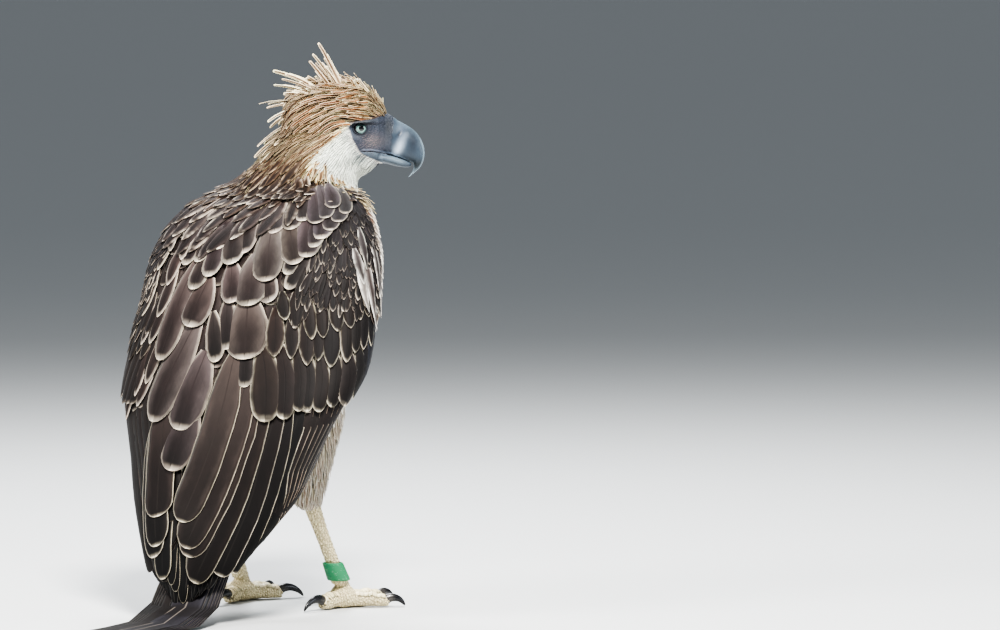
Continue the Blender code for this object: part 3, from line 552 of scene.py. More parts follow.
def finish_coat(coat, material):
    """One object from a coat's feathers."""
    mesh = bpy.data.meshes.new(coat.name)
    co = np.concatenate(coat.co) + SHIFT
    co[:, 2] = np.maximum(co[:, 2], 0.0003)
    quads, tris = np.concatenate(coat.quads), np.concatenate(coat.tris)
    loops = np.concatenate([quads.ravel(), tris.ravel()]).astype(np.int32)
    starts = np.concatenate([np.arange(len(quads)) * 4, len(quads) * 4 + np.arange(len(tris)) * 3]).astype(np.int32)
    mesh.vertices.add(len(co))
    mesh.vertices.foreach_set("co", co.astype(np.float32).ravel())
    mesh.loops.add(len(loops))
    mesh.loops.foreach_set("vertex_index", loops)
    mesh.polygons.add(len(starts))
    mesh.polygons.foreach_set("loop_start", starts)
    mesh.polygons.foreach_set("use_smooth", np.ones(len(starts), bool))
    mesh.update(calc_edges=True)
    data = {key: np.concatenate(value) for key, value in coat.data.items()}
    if coat.patches:
        uv = data["spot"] + (data["cell"] - 0.5) * 0.003
    else:
        # each feather has a cell of its own, in the order of the roots' places, so that neighbours lie side by side
        counts = np.array(coat.per)
        first = np.concatenate([[0], np.cumsum(counts)[:-1]])
        spots = data["spot"][first]
        side = int(math.ceil(math.sqrt(coat.feathers)))
        column = np.empty(coat.feathers, int)
        order = np.argsort(spots[:, 0], kind="stable")
        column[order] = np.arange(coat.feathers) // side
        row = np.empty(coat.feathers, int)
        for c in range(side):
            members = np.where(column == c)[0]
            row[members[np.argsort(spots[members, 1], kind="stable")]] = np.arange(len(members))
        whose = np.repeat(np.arange(coat.feathers), counts)
        uv = np.stack([(column[whose] + data["cell"][:, 0]) / side, (row[whose] + data["cell"][:, 1]) / side], -1)
    layer = mesh.uv_layers.new(name="OFBake")
    layer.data.foreach_set("uv", np.clip(uv, 0.0005, 0.9995)[loops].astype(np.float32).ravel())
    for name, kind, field in (("vane", "FLOAT_VECTOR", "vector"), ("tint", "FLOAT_COLOR", "color"), ("rim", "FLOAT_COLOR", "color"), ("par", "FLOAT_COLOR", "color")):
        attribute = mesh.attributes.new(name, kind, "POINT")
        attribute.data.foreach_set(field, data[name].astype(np.float32).ravel())
    obj = bpy.data.objects.new(coat.name, mesh)
    bpy.context.scene.collection.objects.link(obj)
    mesh.materials.append(material)
    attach(obj, "root")
    COATS.append((coat.name, coat.feathers, 2 * len(quads) + len(tris)))
    return obj


# ---------------------------------------------------------------- closed forms
def ring_mesh(rings, name="form", grow=0.0):
    """A closed mesh through rings (stations, points, 3), each end closed on its middle."""
    rings = np.asarray(rings)
    k, m = rings.shape[:2]
    co = np.concatenate([rings.reshape(-1, 3), [rings[0].mean(0), rings[-1].mean(0)]])
    faces = [(a * m + i, a * m + (i + 1) % m, (a + 1) * m + (i + 1) % m, (a + 1) * m + i) for a in range(k - 1) for i in range(m)]
    faces += [(k * m, (i + 1) % m, i) for i in range(m)] + [(k * m + 1, (k - 1) * m + i, (k - 1) * m + (i + 1) % m) for i in range(m)]
    made = bmesh.new()
    verts = [made.verts.new(p) for p in co]
    for face in faces:
        made.faces.new([verts[i] for i in face])
    bmesh.ops.recalc_face_normals(made, faces=made.faces[:])
    if made.calc_volume(signed=True) < 0:
        bmesh.ops.reverse_faces(made, faces=made.faces[:])
    made.normal_update()
    if grow:
        moves = [vert.normal * grow for vert in made.verts]
        for vert, move in zip(made.verts, moves):
            vert.co += move
    mesh = bpy.data.meshes.new(name)
    made.to_mesh(mesh)
    made.free()
    return mesh


def points_of(mesh):
    co = np.empty(len(mesh.vertices) * 3, np.float32)
    mesh.vertices.foreach_get("co", co)
    return co.reshape(-1, 3).astype(float)


def turned(count):
    return np.arange(count) * 2 * math.pi / count


def trunk_rings(count=56, levels=40, low=0.114, high=0.545):
    rings = []
    for z in np.linspace(low, high, levels):
        back, front, half = look_up(TRUNK_FINE, z)
        middle = back + (front - back) * 0.45
        t = turned(count)
        c = np.cos(t)
        depth = np.where(c > 0, back - middle, middle - front)
        power = np.where(c > 0, 0.86, 0.94)
        rings.append(np.stack([half * np.sin(t), middle + depth * np.sign(c) * np.abs(c) ** power, np.full(count, z)], -1))
    return np.array(rings)


def neck_rings(count=48, levels=24):
    rings = []
    for z in np.linspace(0.530, 0.620, levels):
        x, y, half, depth = look_up(NECK_FINE, z)
        t = turned(count)
        c, s = np.cos(t), np.sin(t)
        c, s = np.sign(c) * np.abs(c) ** (2 / 2.2), np.sign(s) * np.abs(s) ** (2 / 2.2)
        rings.append(np.array([x, y, z]) + RIGHT * (half * c)[:, None] + SIDE * (depth * s)[:, None])
    return np.array(rings)


HEAD_FINE = smoothed(HEAD, 300, 25)


def head_rings(count=56, levels=48):
    rings = []
    first, last = HEAD[0, 0], HEAD[-1, 0]
    # closer stations at both ends, where the form closes
    for share in (1 - np.cos(np.linspace(0, math.pi, levels))) / 2:
        f = first + (last - first) * share
        top, bottom, half = look_up(HEAD_FINE, f)
        t = turned(count)
        up, side = np.cos(t), np.sin(t)
        pinch = 1 - 0.14 * np.maximum(0, up) ** 2
        middle = (top + bottom) / 2
        rings.append(head_point(np.full(count, f), middle + (top - bottom) / 2 * up, half * pinch * np.sign(side) * np.abs(side) ** 0.9))
    return np.array(rings)


def shell_rings(low, high, outer, inner, count=64, levels=40):
    """A slab of both wings and the back together, following the wings' surface."""
    rings = []
    for z in np.linspace(low, high, levels):
        front = np.interp(z, WING_Z, WING_FRONT)
        phi = np.linspace(-front, front, count)
        edge = 0.25 + 0.75 * np.sin(math.pi * (phi + front) / (2 * front)) ** 0.4
        out = shell(np.full(count, z), phi, outer * edge)
        back = shell(np.full(count, z), phi, inner * edge)
        rings.append(np.concatenate([out, back[::-1]]))
    return np.array(rings)


def leg_rings(fine, side, count=32, levels=24, low=None, high=None):
    rings = []
    for z in np.linspace(low or fine[0, 0], high or fine[-1, 0], levels):
        x, y, half, depth = look_up(fine, z)
        t = turned(count)
        rings.append(np.stack([side * x + half * np.cos(t), y + depth * np.sin(t), np.full(count, z)], -1))
    return np.array(rings)


def toe_line(side, degrees, length, root, end, at):
    """Middle and radius of a toe at shares of its length, with its joints' swellings."""
    turn = math.radians(degrees)
    ahead = np.array([side * math.sin(turn), -math.cos(turn), 0])
    start = np.array([side * FOOT_AT[0], FOOT_AT[1], 0])
    swell = np.interp(at, np.linspace(0, 1, 201), np.convolve(np.pad(np.interp(np.linspace(0, 1, 201), (0.0, 0.30, 0.42, 0.60, 0.72, 0.84, 0.94, 1.0), (1.0, 0.93, 0.87, 1.06, 0.90, 1.02, 0.86, 0.52)), 8, "edge"), np.ones(17) / 17, "valid"))
    radius = (root + (end - root) * at) * swell
    rise = radius * 0.88 + 0.0035 * np.sin(math.pi * at) * (1 - at)
    middle = start + ahead * (0.006 + (length - 0.006) * at)[:, None] + ZED * rise[:, None]
    return middle, radius, ahead


def toe_rings(side, degrees, length, root, end, count=28, levels=36):
    at = np.linspace(0, 1, levels)
    middle, radius, ahead = toe_line(side, degrees, length, root, end, at)
    across = np.array([-ahead[1], ahead[0], 0])
    t = turned(count)
    rings = middle[:, None] + across * (np.cos(t)[None] * radius[:, None])[..., None] + ZED * (np.sin(t)[None] * radius[:, None])[..., None]
    # a soft flat under the pads
    z = rings[..., 2]
    rings[..., 2] = np.where(z < 0.0022, 0.0004 + 0.0018 * np.exp((z - 0.0022) / 0.0018), z)
    return rings


def ball_rings(centre, radii, count=32, levels=20):
    rings = []
    for a in np.linspace(0.12, math.pi - 0.12, levels):
        t = turned(count)
        rings.append(np.stack([centre[0] + radii[0] * math.sin(a) * np.cos(t), centre[1] + radii[1] * math.sin(a) * np.sin(t), np.full(count, centre[2] - radii[2] * math.cos(a))], -1))
    return np.array(rings)


def tail_spine(at):
    """Y, z, half width, thickness and the along direction at distances down the tail."""
    step = np.concatenate([[0], np.cumsum(np.hypot(np.diff(TAIL[:, 0]), np.diff(TAIL[:, 1])))])
    fine = smoothed(np.column_stack([step, TAIL]), 400, 25)
    y, z, half, thick = look_up(fine, at)
    ahead, behind = look_up(fine, np.asarray(at) + 0.003), look_up(fine, np.asarray(at) - 0.003)
    ty, tz = ahead[0] - behind[0], ahead[1] - behind[1]
    size = np.hypot(ty, tz) + 1e-9
    return y, z, half, thick, ty / size, tz / size


TAIL_LONG = float(np.hypot(np.diff(TAIL[:, 0]), np.diff(TAIL[:, 1])).sum())


def join_remesh(meshes, voxel, name, smooth=0):
    """One closed skin round all these forms."""
    made = bmesh.new()
    for mesh in meshes:
        made.from_mesh(mesh)
    joined = bpy.data.meshes.new(name + "_parts")
    made.to_mesh(joined)
    made.free()
    obj = bpy.data.objects.new(name + "_parts", joined)
    bpy.context.scene.collection.objects.link(obj)
    remesh = obj.modifiers.new("remesh", "REMESH")
    remesh.mode = "VOXEL"
    remesh.voxel_size = voxel
    remesh.adaptivity = 0.0
    if smooth:
        relax = obj.modifiers.new("smooth", "SMOOTH")
        relax.factor = 0.5
        relax.iterations = smooth
    graph = bpy.context.evaluated_depsgraph_get()
    mesh = bpy.data.meshes.new_from_object(obj.evaluated_get(graph), depsgraph=graph)
    bpy.data.objects.remove(obj, do_unlink=True)
    mesh.name = name
    return mesh


def arrays(mesh):
    co = np.empty(len(mesh.vertices) * 3, np.float32)
    mesh.vertices.foreach_get("co", co)
    no = np.empty(len(mesh.vertices) * 3, np.float32)
    mesh.vertices.foreach_get("normal", no)
    return co.reshape(-1, 3).astype(float), no.reshape(-1, 3).astype(float)


# the outline of the coat: every form at its full size, as the solids have it
outline_forms = [ring_mesh(trunk_rings()), ring_mesh(neck_rings()), ring_mesh(head_rings()), ring_mesh(shell_rings(0.20, 0.545, 0.002, -0.014))]
for side in (-1, 1):
    outline_forms.append(ring_mesh(leg_rings(THIGH_FINE, side)))
HULL = join_remesh(outline_forms, 0.0035, "outline", 6)
hull_co, hull_no = arrays(HULL)
HULL.calc_loop_triangles()
hull_tri = np.empty(len(HULL.loop_triangles) * 3, np.int32)
HULL.loop_triangles.foreach_get("vertices", hull_tri)
hull_tri = hull_tri.reshape(-1, 3)
HULL_BVH = BVHTree.FromPolygons(hull_co.tolist(), hull_tri.tolist())
_smooth_no = hull_no


def scatter(keep, spacing, seed, tries=5, surface=None):
    """Points spread over the coat's outline, or another surface, where keep(points, normals) is above a random share; spacing may depend on place."""
    own = np.random.default_rng(seed)
    on_co, on_tri = surface or (hull_co, hull_tri)
    a, b, c = (on_co[on_tri[:, k]] for k in range(3))
    middle = (a + b + c) / 3
    normal = np.cross(b - a, c - a)
    area = np.linalg.norm(normal, axis=1) / 2
    normal /= (2 * area[:, None] + 1e-15)
    share = keep(middle, normal)
    gap = spacing(middle) if callable(spacing) else np.full(len(middle), spacing)
    weight = area * np.clip(share, 0, 1) / gap ** 2
    count = int(weight.sum() * tries * 1.2) + 8
    pick = own.choice(len(weight), count, p=weight / weight.sum())
    r1, r2 = np.sqrt(own.random(count)), own.random(count)
    p = a[pick] * (1 - r1)[:, None] + b[pick] * (r1 * (1 - r2))[:, None] + c[pick] * (r1 * r2)[:, None]
    g = gap[pick]
    cell = float(np.max(g))
    taken, kept = {}, []
    for i in range(count):
        key = tuple((p[i] // cell).astype(int))
        clear = True
        for dx in (-1, 0, 1):
            for dy in (-1, 0, 1):
                for dz in (-1, 0, 1):
                    for j in taken.get((key[0] + dx, key[1] + dy, key[2] + dz), ()):
                        if (p[i, 0] - p[j, 0]) ** 2 + (p[i, 1] - p[j, 1]) ** 2 + (p[i, 2] - p[j, 2]) ** 2 < g[i] * g[i]:
                            clear = False
                            break
                    if not clear:
                        break
                if not clear:
                    break
            if not clear:
                break
        if clear:
            taken.setdefault(key, []).append(i)
            kept.append(i)
    kept = np.array(kept, int)
    return p[kept], normal[pick[kept]]


def follow(p, n, length, direction, steps=4):
    """Paths over the coat's outline from these roots: direction(points) is the way that the feathers lie."""
    P, N = [p], [n]
    for k in range(steps):
        d = direction(P[-1])
        d = d - N[-1] * (d * N[-1]).sum(-1, keepdims=True)
        d /= np.linalg.norm(d, axis=-1, keepdims=True) + 1e-9
        q = P[-1] + d * (length / steps)[:, None]
        hits = [HULL_BVH.find_nearest(Vector(point)) for point in q]
        on = np.array([tuple(hit[0]) for hit in hits])
        m = np.array([tuple(hit[1]) for hit in hits])
        # a feather springs straight over a sharp bend or a gap
        off = np.linalg.norm(on - q, axis=1)
        far = off > length / steps * 0.55
        on[far] = (on[far] + q[far]) / 2
        P.append(on)
        N.append((m + N[-1]) / 2)
    return np.stack(P, 1), np.stack(N, 1)


def jitter(f, base, spread, hue=0.04):
    """One colour varied from feather to feather."""
    base = np.atleast_2d(np.asarray(base, float))
    value = 1 + (rng.random((f, 1)) - 0.5) * 2 * spread
    return np.clip(base * value * (1 + (rng.random((f, 3)) - 0.5) * 2 * hue), 0.002, 1)


# ---------------------------------------------------------------- palette, as read
BROWN = rgb(98, 83, 77)          # the scapulars' middle brown
LILAC_AND_SHEEN = rgb(112, 104, 106)        # the upper scapulars' grey, partly their own bloom and partly painted sheen
DUSK = rgb(62, 52, 51)
SEPIA = rgb(56, 45, 41)           # coverts
INK = rgb(34, 31, 33)             # low quills
CREAM = rgb(242, 228, 210)
WHITE = rgb(238, 234, 224)
GOLD = rgb(166, 126, 84)          # crown and nape
PALE_GOLD = rgb(216, 186, 146)
STRAW = rgb(246, 234, 210)

M_VANE = vane_material("vane_brown", dusk=(0.24, 0.17, 0.17))
M_QUILL = vane_material("vane_quill", centre=(1.02, 0.42), dusk=(0.24, 0.19, 0.19), line=(1.05, 0.5), soft=2.6, blushing=0.35, patchy=0.35, fade=0.9, deep=0.52)
M_SCAPULAR = vane_material("vane_scapular", dusk=(0.24, 0.18, 0.18), line=(1.15, 0.40), soft=4.4, blushing=0.55, patchy=0.45, fade=1.10, deep=0.60)
M_COVERT = vane_material("vane_covert", dusk=(0.20, 0.15, 0.16), line=(1.5, 0.3), soft=3.4, blushing=0.36, patchy=0.85, fade=0.5, deep=0.35)
M_MANTLE = vane_material("vane_mantle", dusk=(0.16, 0.115, 0.11), line=(1.5, 0.2), soft=4.6, blushing=0.50, patchy=0.95, fade=0.5, deep=0.44, come_at=(0.66, 0.46))
M_LANCE = vane_material("vane_lance", centre=(0.74, 0.30), shaft=0.10, dusk=(0.15, 0.108, 0.092), rough=0.58, barbs=0.5, soft=2.6, patchy=0.4, fade=0.3, deep=0.80)
M_DOWN = vane_material("vane_white", centre=(0.6, 0.1), shaft=0.10, dusk=(0.35, 0.26, 0.2), rough=0.75, barbs=0.25, soft=3.0, fade=0.2, deep=1.0)

# ---------------------------------------------------------------- camera, floor and light
view = bpy.data.cameras.new("camera")
view.sensor_width, view.sensor_fit = 36.0, "HORIZONTAL"
view.lens = 36.0 * FOCAL / 1000
view.clip_start, view.clip_end = 0.1, 500
camera = bpy.data.objects.new("camera", view)
place = np.eye(4)
place[:3, 0], place[:3, 1], place[:3, 2], place[:3, 3] = RIGHT, LIFT, -LOOK, EYE_POINT + SHIFT
camera.matrix_world = Matrix([list(row) for row in place])
bpy.context.scene.collection.objects.link(camera)
bpy.context.scene.camera = camera

ground = bpy.data.meshes.new("floor")
reach = ((0.0, 0.0), (9.0, 0.0), (14.0, 0.05), (22.0, 0.6), (34.0, 2.6), (50.0, 7.5), (70.0, 17.0), (90.0, 30.0))
rim_points = [(r * math.cos(t), r * math.sin(t), z) for r, z in reach[1:] for t in turned(72)]
sides = [(0, 1 + i, 1 + (i + 1) % 72) for i in range(72)]
for k in range(len(reach) - 2):
    sides += [(1 + k * 72 + i, 1 + (k + 1) * 72 + i, 1 + (k + 1) * 72 + (i + 1) % 72, 1 + k * 72 + (i + 1) % 72) for i in range(72)]
ground.from_pydata([(0, 0, 0)] + rim_points, [], sides)
ground.polygons.foreach_set("use_smooth", np.ones(len(ground.polygons), bool))
floor = bpy.data.objects.new("floor", ground)
floor.location.z = -0.0003
bpy.context.scene.collection.objects.link(floor)
pale = Nodes("floor_pale")
ground.materials.append(pale.finish((0.60, 0.61, 0.61), 0.9))

world = bpy.data.worlds.new("soft")
bpy.context.scene.world = world
world.use_nodes = True
world.node_tree.nodes["Background"].inputs[0].default_value = (0.80, 0.86, 0.92, 1)
world.node_tree.nodes["Background"].inputs[1].default_value = 0.25
bpy.context.scene.view_settings.view_transform = "AgX"
bpy.context.scene.view_settings.look = "AgX - High Contrast"
bpy.context.scene.view_settings.exposure = 0.30


def area(name, at, size, power, colour=(1, 1, 1), toward=(0, -0.14, 0.40)):
    light = bpy.data.lights.new(name, "AREA")
    light.shape, light.size, light.energy, light.color = "DISK", size, power, colour
    obj = bpy.data.objects.new(name, light)
    obj.location = at
    obj.rotation_euler = (Vector(toward) - Vector(at)).to_track_quat("-Z", "Y").to_euler()
    bpy.context.scene.collection.objects.link(obj)


HERE = np.array([0.0, -0.1, 0.4])
area("key", HERE + SIDE * 2.0 + RIGHT * 0.5 + ZED * 2.6, 0.9, 196, (1.0, 0.975, 0.94))
area("left", HERE + SIDE * 1.2 - RIGHT * 2.4 + ZED * 1.5, 1.2, 52, (1.0, 0.98, 0.96))
area("fill", HERE + SIDE * 0.9 + RIGHT * 2.8 + ZED * 0.8, 1.4, 20, (0.90, 0.95, 1.0))
area("top", HERE - SIDE * 1.8 - RIGHT * 0.2 + ZED * 2.6, 1.4, 110, (0.96, 0.98, 1.0))


# ---------------------------------------------------------------- which colour lies where
CHEEK_U = np.array((-0.110, -0.0845, -0.074, -0.0663, -0.057, -0.0455, -0.035, -0.022, -0.010, 0.0026, 0.02))
CHEEK_F = np.array((0.045, 0.0247, 0.012, 0.0008, -0.0117, -0.0235, -0.0247, -0.014, 0.004, 0.0208, 0.2))
BROW_F = np.array((0.0, 0.0195, 0.0234, 0.0273, 0.039, 0.052, 0.0624, 0.0689, 0.09))
BROW_U = np.array((-0.006, -0.0013, 0.0022, 0.0050, 0.0068, 0.0082, 0.0120, 0.0156, 0.03))
MASK_U = np.array((-0.0600, -0.0520, -0.0490, -0.0420, -0.0360, -0.0325, -0.0180, -0.0040, 0.0026, 0.0090))
MASK_F = np.array((0.2000, 0.0720, 0.0610, 0.0450, 0.0345, 0.0315, 0.0235, 0.0190, 0.0185, 0.0235))
GAPE_F = np.array((0.0330, 0.0486, 0.0628, 0.0700, 0.0754, 0.0865, 0.0975, 0.1014))
GAPE_U = np.array((-0.0342, -0.0341, -0.0364, -0.0380, -0.0387, -0.0443, -0.0490, -0.0514))
CHIN_F = np.array((0.0330, 0.0455, 0.0628, 0.0786, 0.0990))
CHIN_U = np.array((-0.0352, -0.0420, -0.0490, -0.0530, -0.0554))


def whiteness(p):
    """1 on the white cheek, throat and breast, 0 on the buff and brown."""
    f, u, s = head_local(p)
    low = np.clip((-0.045 - u) / 0.05, 0, 1)
    edge = np.interp(u, CHEEK_U, CHEEK_F) - np.clip(-s, 0, 0.2) * 1.5 * low
    near = np.clip((f - edge) / 0.010 + 0.5, 0, 1)
    # the breast's white, round the front of the trunk
    yc = np.interp(p[:, 2], SHELL_FINE[:, 0], SHELL_FINE[:, 1])
    turn = np.degrees(np.arctan2(np.abs(p[:, 0]), -(p[:, 1] - yc)))
    breast = np.clip((66 + np.clip(0.44 - p[:, 2], 0, 1) * 260 - turn) / 8 + 0.5, 0, 1)
    share = np.clip((p[:, 2] - 0.530) / 0.02, 0, 1)
    return near * share + breast * (1 - share)


def facing_mask(p):
    """1 on the bare grey skin from the eye to the bill."""
    f, u, s = head_local(p)
    inside = np.clip((f - np.interp(u, MASK_U, MASK_F)) / 0.003 + 0.5, 0, 1)
    return inside * np.clip((np.interp(f, BROW_F, BROW_U) - u) / 0.0016 + 0.5, 0, 1) * (u > -0.056) * (f < 0.09) * (p[:, 2] > 0.55)


def wing_place(p):
    """(degrees, distance out) of points against the closed wings' surface."""
    yc, a, b = look_up(SHELL_FINE, p[:, 2])
    phi = np.degrees(np.arctan2(p[:, 0] / a, (p[:, 1] - yc) / b))
    q = shell(p[:, 2], phi)
    return phi, np.hypot(p[:, 0], p[:, 1] - yc) - np.hypot(q[:, 0], q[:, 1] - yc)


def on_wing(p):
    phi, out = wing_place(p)
    front = np.interp(p[:, 2], WING_Z, WING_FRONT)
    return (np.abs(phi) < front + 4) & (np.abs(out) < 0.009) & (p[:, 2] < 0.548)


# ---------------------------------------------------------------- flight feathers and the big coverts
def straight_route(row, bow=0.0, count=17):
    """The (height, degrees) of a line that runs straight across the picture, or bowed to its right by so many pixels."""
    a, b = np.array(row[0], float), np.array(row[1], float)
    t = np.linspace(0, 1, count)
    side = np.array([b[1] - a[1], a[0] - b[0]]) / np.linalg.norm(b - a)
    at = seen(a + (b - a) * t[:, None] + side * (bow * np.sin(math.pi * t))[:, None])
    return np.stack([np.polyval(np.polyfit(t, at[:, k], 4), t) for k in (0, 1)], -1)


def from_picture(coat, rows, tint, kind="round", nu=7, fringe=0.0018, dark=0.6, spread=0.12, rim=CREAM, bow=None, **more):
    roots, tips = seen([row[0] for row in rows]), seen([row[1] for row in rows])
    if bow is not None:
        more["route"] = np.stack([straight_route(row, bow) for row in rows])
    width = np.array([row[2] for row in rows]) * PIXEL
    low, high = (np.array([row[k] for row in rows]) * 0.001 for k in (3, 4))
    shell_vanes(coat, roots, tips, width, low, high, kind, nu, jitter(len(rows), tint, spread), jitter(len(rows), rim, 0.06, 0.02), fringe, dark, **more)
    return roots, tips


# the right wing's inner quills, the innermost on top
QUILLS_RIGHT = (
    ((236, 352), (183, 523), 36, 3.1, 6.4), ((250, 368), (187, 549), 36, 2.6, 5.6), ((256, 376), (188, 558), 36, 2.1, 4.8),
    ((266, 384), (195, 583), 34, 1.6, 4.1), ((280, 388), (220, 577), 29, 1.2, 3.4), ((290, 390), (236, 573), 25, 0.8, 2.8),
    ((300, 392), (243, 579), 23, 0.4, 2.2),
)
QUILLS_RIGHT_OUTER = (
    ((309, 392), (247, 571), 21, 0.1, 1.6), ((317, 391), (249, 569), 21, -0.2, 1.1), ((325, 390), (250, 567), 21, -0.5, 0.6),
    ((333, 389), (251, 565), 20, -0.8, 0.1), ((341, 387), (253, 562), 20, -1.1, -0.4), ((348, 385), (256, 558), 19, -1.4, -0.9),
    ((354, 383), (262, 550), 18, -1.7, -1.4),
)
flight = Coat("quills_right")
from_picture(flight, QUILLS_RIGHT, (rgb(80, 69, 65), rgb(70, 59, 55), rgb(56, 45, 41), rgb(43, 33, 30), rgb(33, 26, 25), rgb(26, 22, 22), rgb(22, 20, 21)), "long", 9, (0.0013, 0.0014, 0.0014, 0.0015, 0.0013, 0.0011, 0.0012), 0.85, 0.04, STRAW, shafted=0.01, bow=6.0, arch=0.0, thick=0.0005)
from_picture(flight, QUILLS_RIGHT_OUTER, rgb(46, 39, 38), "quill", 7, 0.0010, 0.8, 0.10, rgb(190, 172, 154), shafted=0.02, bow=5.0, arch=0.0, thick=0.0004)
# under them the long outer quills, which go on round the wing's front edge and make the wing's tip
for k in range(9):
    share = k / 8
    root = (0.375 - 0.02 * share, -(86 + 24 * share))
    tip = (0.016 + 0.055 * share ** 0.8, -(12 + 62 * share))
    shell_vanes(flight, root, tip, 0.034 - 0.006 * share, -0.0024 - 0.0002 * k, -0.0022 - 0.0003 * k, "quill", 7, jitter(1, INK, 0.10), rgb(110, 98, 90), 0.0007, 0.3, shafted=0.3, bend=0.02)
from_picture(flight, (((205, 470), (177, 613), 15, -1.2, -0.6), ((200, 470), (185, 597), 16, -0.8, -0.2), ((207, 470), (192, 601), 18, -1.6, -1.0), ((214, 472), (199, 597), 18, -1.4, -0.9), ((226, 480), (208, 590), 18, -1.5, -1.1)),
             rgb(26, 24, 26), "quill", 7, 0.0007, 0.2, 0.08, rgb(120, 116, 112), shafted=0.2)

QUILLS_LEFT = (
    ((170, 392), (160, 518), 38, 2.6, 5.4), ((163, 405), (159, 547), 31, 1.8, 4.3), ((158, 415), (156, 558), 28, 1.1, 3.3),
    ((184, 440), (164, 580), 22, 0.5, 2.4), ((192, 450), (172, 585), 12, -0.2, 1.0), ((176, 460), (176, 592), 13, -0.6, 0.4), ((182, 470), (183, 603), 12, -1.0, 0.0),
)
flight_left = Coat("quills_left")
from_picture(flight_left, QUILLS_LEFT, (rgb(70, 59, 55), rgb(42, 34, 32), rgb(34, 28, 27), rgb(24, 21, 22), rgb(18, 17, 18), rgb(16, 15, 17), rgb(14, 13, 15)), "long", 9, (0.0014, 0.0015, 0.0017, 0.0015, 0.0006, 0.0006, 0.0006), 0.85, 0.04, STRAW, shafted=0.01, arch=0.0, thick=0.0005)
# the left wing's outer side, which mirrors the right one's run of quills
inner = seen([row[0] for row in QUILLS_RIGHT + QUILLS_RIGHT_OUTER])
ends = seen([row[1] for row in QUILLS_RIGHT + QUILLS_RIGHT_OUTER])
for k, (root, tip) in enumerate(zip(inner, ends)):
    root, tip = root * (1, -1), tip * (1, -1)
    tip[1] = max(tip[1], 14 + 3.2 * k)
    root[1] = max(root[1], 34 + 5.0 * k)
    width = (QUILLS_RIGHT + QUILLS_RIGHT_OUTER)[k][2] * PIXEL
    shell_vanes(flight_left, root, tip, width, 0.0012 - 0.00028 * k, 0.0016 - 0.00030 * k, "long" if k < 7 else "quill", 7, jitter(1, rgb(44, 37, 35), 0.08), rgb(120, 108, 98), 0.0006 if k < 7 else 0.0005, 0.55, shafted=0.02, arch=0.0, thick=0.0005)
for k in range(9):
    share = k / 8
    shell_vanes(flight_left, (0.375 - 0.02 * share, 86 + 24 * share), (0.015 + 0.050 * share ** 0.8, 10 + 62 * share), 0.034 - 0.006 * share, -0.0030 - 0.0002 * k, -0.0028 - 0.0003 * k,
                "quill", 7, jitter(1, INK, 0.10), rgb(110, 98, 90), 0.0007, 0.3, shafted=0.3, bend=-0.02)
finish_coat(flight, M_QUILL)
finish_coat(flight_left, M_QUILL)

# ---------------------------------------------------------------- coverts
GREATER = (
    ((262, 346), (266, 423), 33, 3.0, 5.8), ((280, 346), (284, 421), 25, 2.7, 5.2), ((296, 346), (298, 412), 18, 2.5, 4.8), ((305, 346), (306, 413), 16, 2.2, 4.6),
    ((318, 350), (317, 412), 17, 2.2, 4.6), ((332, 348), (330, 408), 16, 1.9, 4.2), ((345, 346), (341, 405), 20, 2.0, 4.4), ((356, 344), (350, 398), 16, 1.6, 3.8), ((364, 340), (358, 392), 15, 1.2, 3.2),
)
MEDIAN = (
    ((276, 308), (276, 359), 20, 3.2, 5.6), ((293, 312), (292, 361), 15, 3.0, 5.5), ((306, 314), (307, 367), 17, 3.4, 5.8), ((318, 314), (318, 362), 14, 3.0, 5.3), ((331, 312), (330, 368), 18, 3.4, 5.8),
    ((346, 308), (345, 363), 15, 3.2, 5.5), ((356, 304), (353, 353), 14, 3.0, 5.2), ((364, 300), (361, 350), 12, 2.8, 5.0), ((370, 298), (368, 346), 11, 2.4, 4.6),
)
LESSER_LAST = (
    ((283, 292), (287, 322), 14, 3.6, 5.8), ((296, 292), (296, 330), 15, 3.6, 6.0), ((309, 298), (313, 341), 14, 3.8, 6.2), ((322, 298), (323, 340), 14, 3.6, 6.0), ((336, 292), (337, 333), 15, 3.8, 6.2),
    ((348, 288), (349, 329), 14, 3.6, 6.0), ((357, 284), (358, 322), 12, 3.4, 5.6), ((366, 282), (366, 318), 11, 3.0, 5.2),
)
coverts = Coat("coverts_right")
dark_brown = rgb(66, 55, 51)
from_picture(coverts, GREATER, (rgb(62, 49, 43), rgb(56, 44, 40), rgb(52, 42, 38), rgb(50, 40, 37), rgb(56, 45, 41), rgb(50, 41, 38), rgb(64, 55, 53), rgb(54, 48, 48), rgb(50, 46, 48)), "round", 7, (0.0022, 0.0018, 0.0013, 0.0014, 0.0012, 0.0012, 0.0013, 0.0010, 0.0009), 0.65, 0.05, STRAW, arch=0.02)
g_root, g_tip = seen([r[0] for r in GREATER]), seen([r[1] for r in GREATER])
from_picture(coverts, MEDIAN, (rgb(66, 51, 45), rgb(54, 42, 38), rgb(58, 45, 41), rgb(52, 41, 37), rgb(46, 39, 38), rgb(56, 44, 40), rgb(52, 44, 42), rgb(52, 46, 46), rgb(50, 45, 46)), "point", 7, (0.0014, 0.0010, 0.0013, 0.0010, 0.0010, 0.0013, 0.0009, 0.0008, 0.0008), 0.65, 0.05, STRAW)
from_picture(coverts, LESSER_LAST, SEPIA, "point", 5, (0.0010, 0.0008, 0.0012, 0.0007, 0.0011, 0.0008, 0.0010, 0.0007), 0.6, 0.14, STRAW)
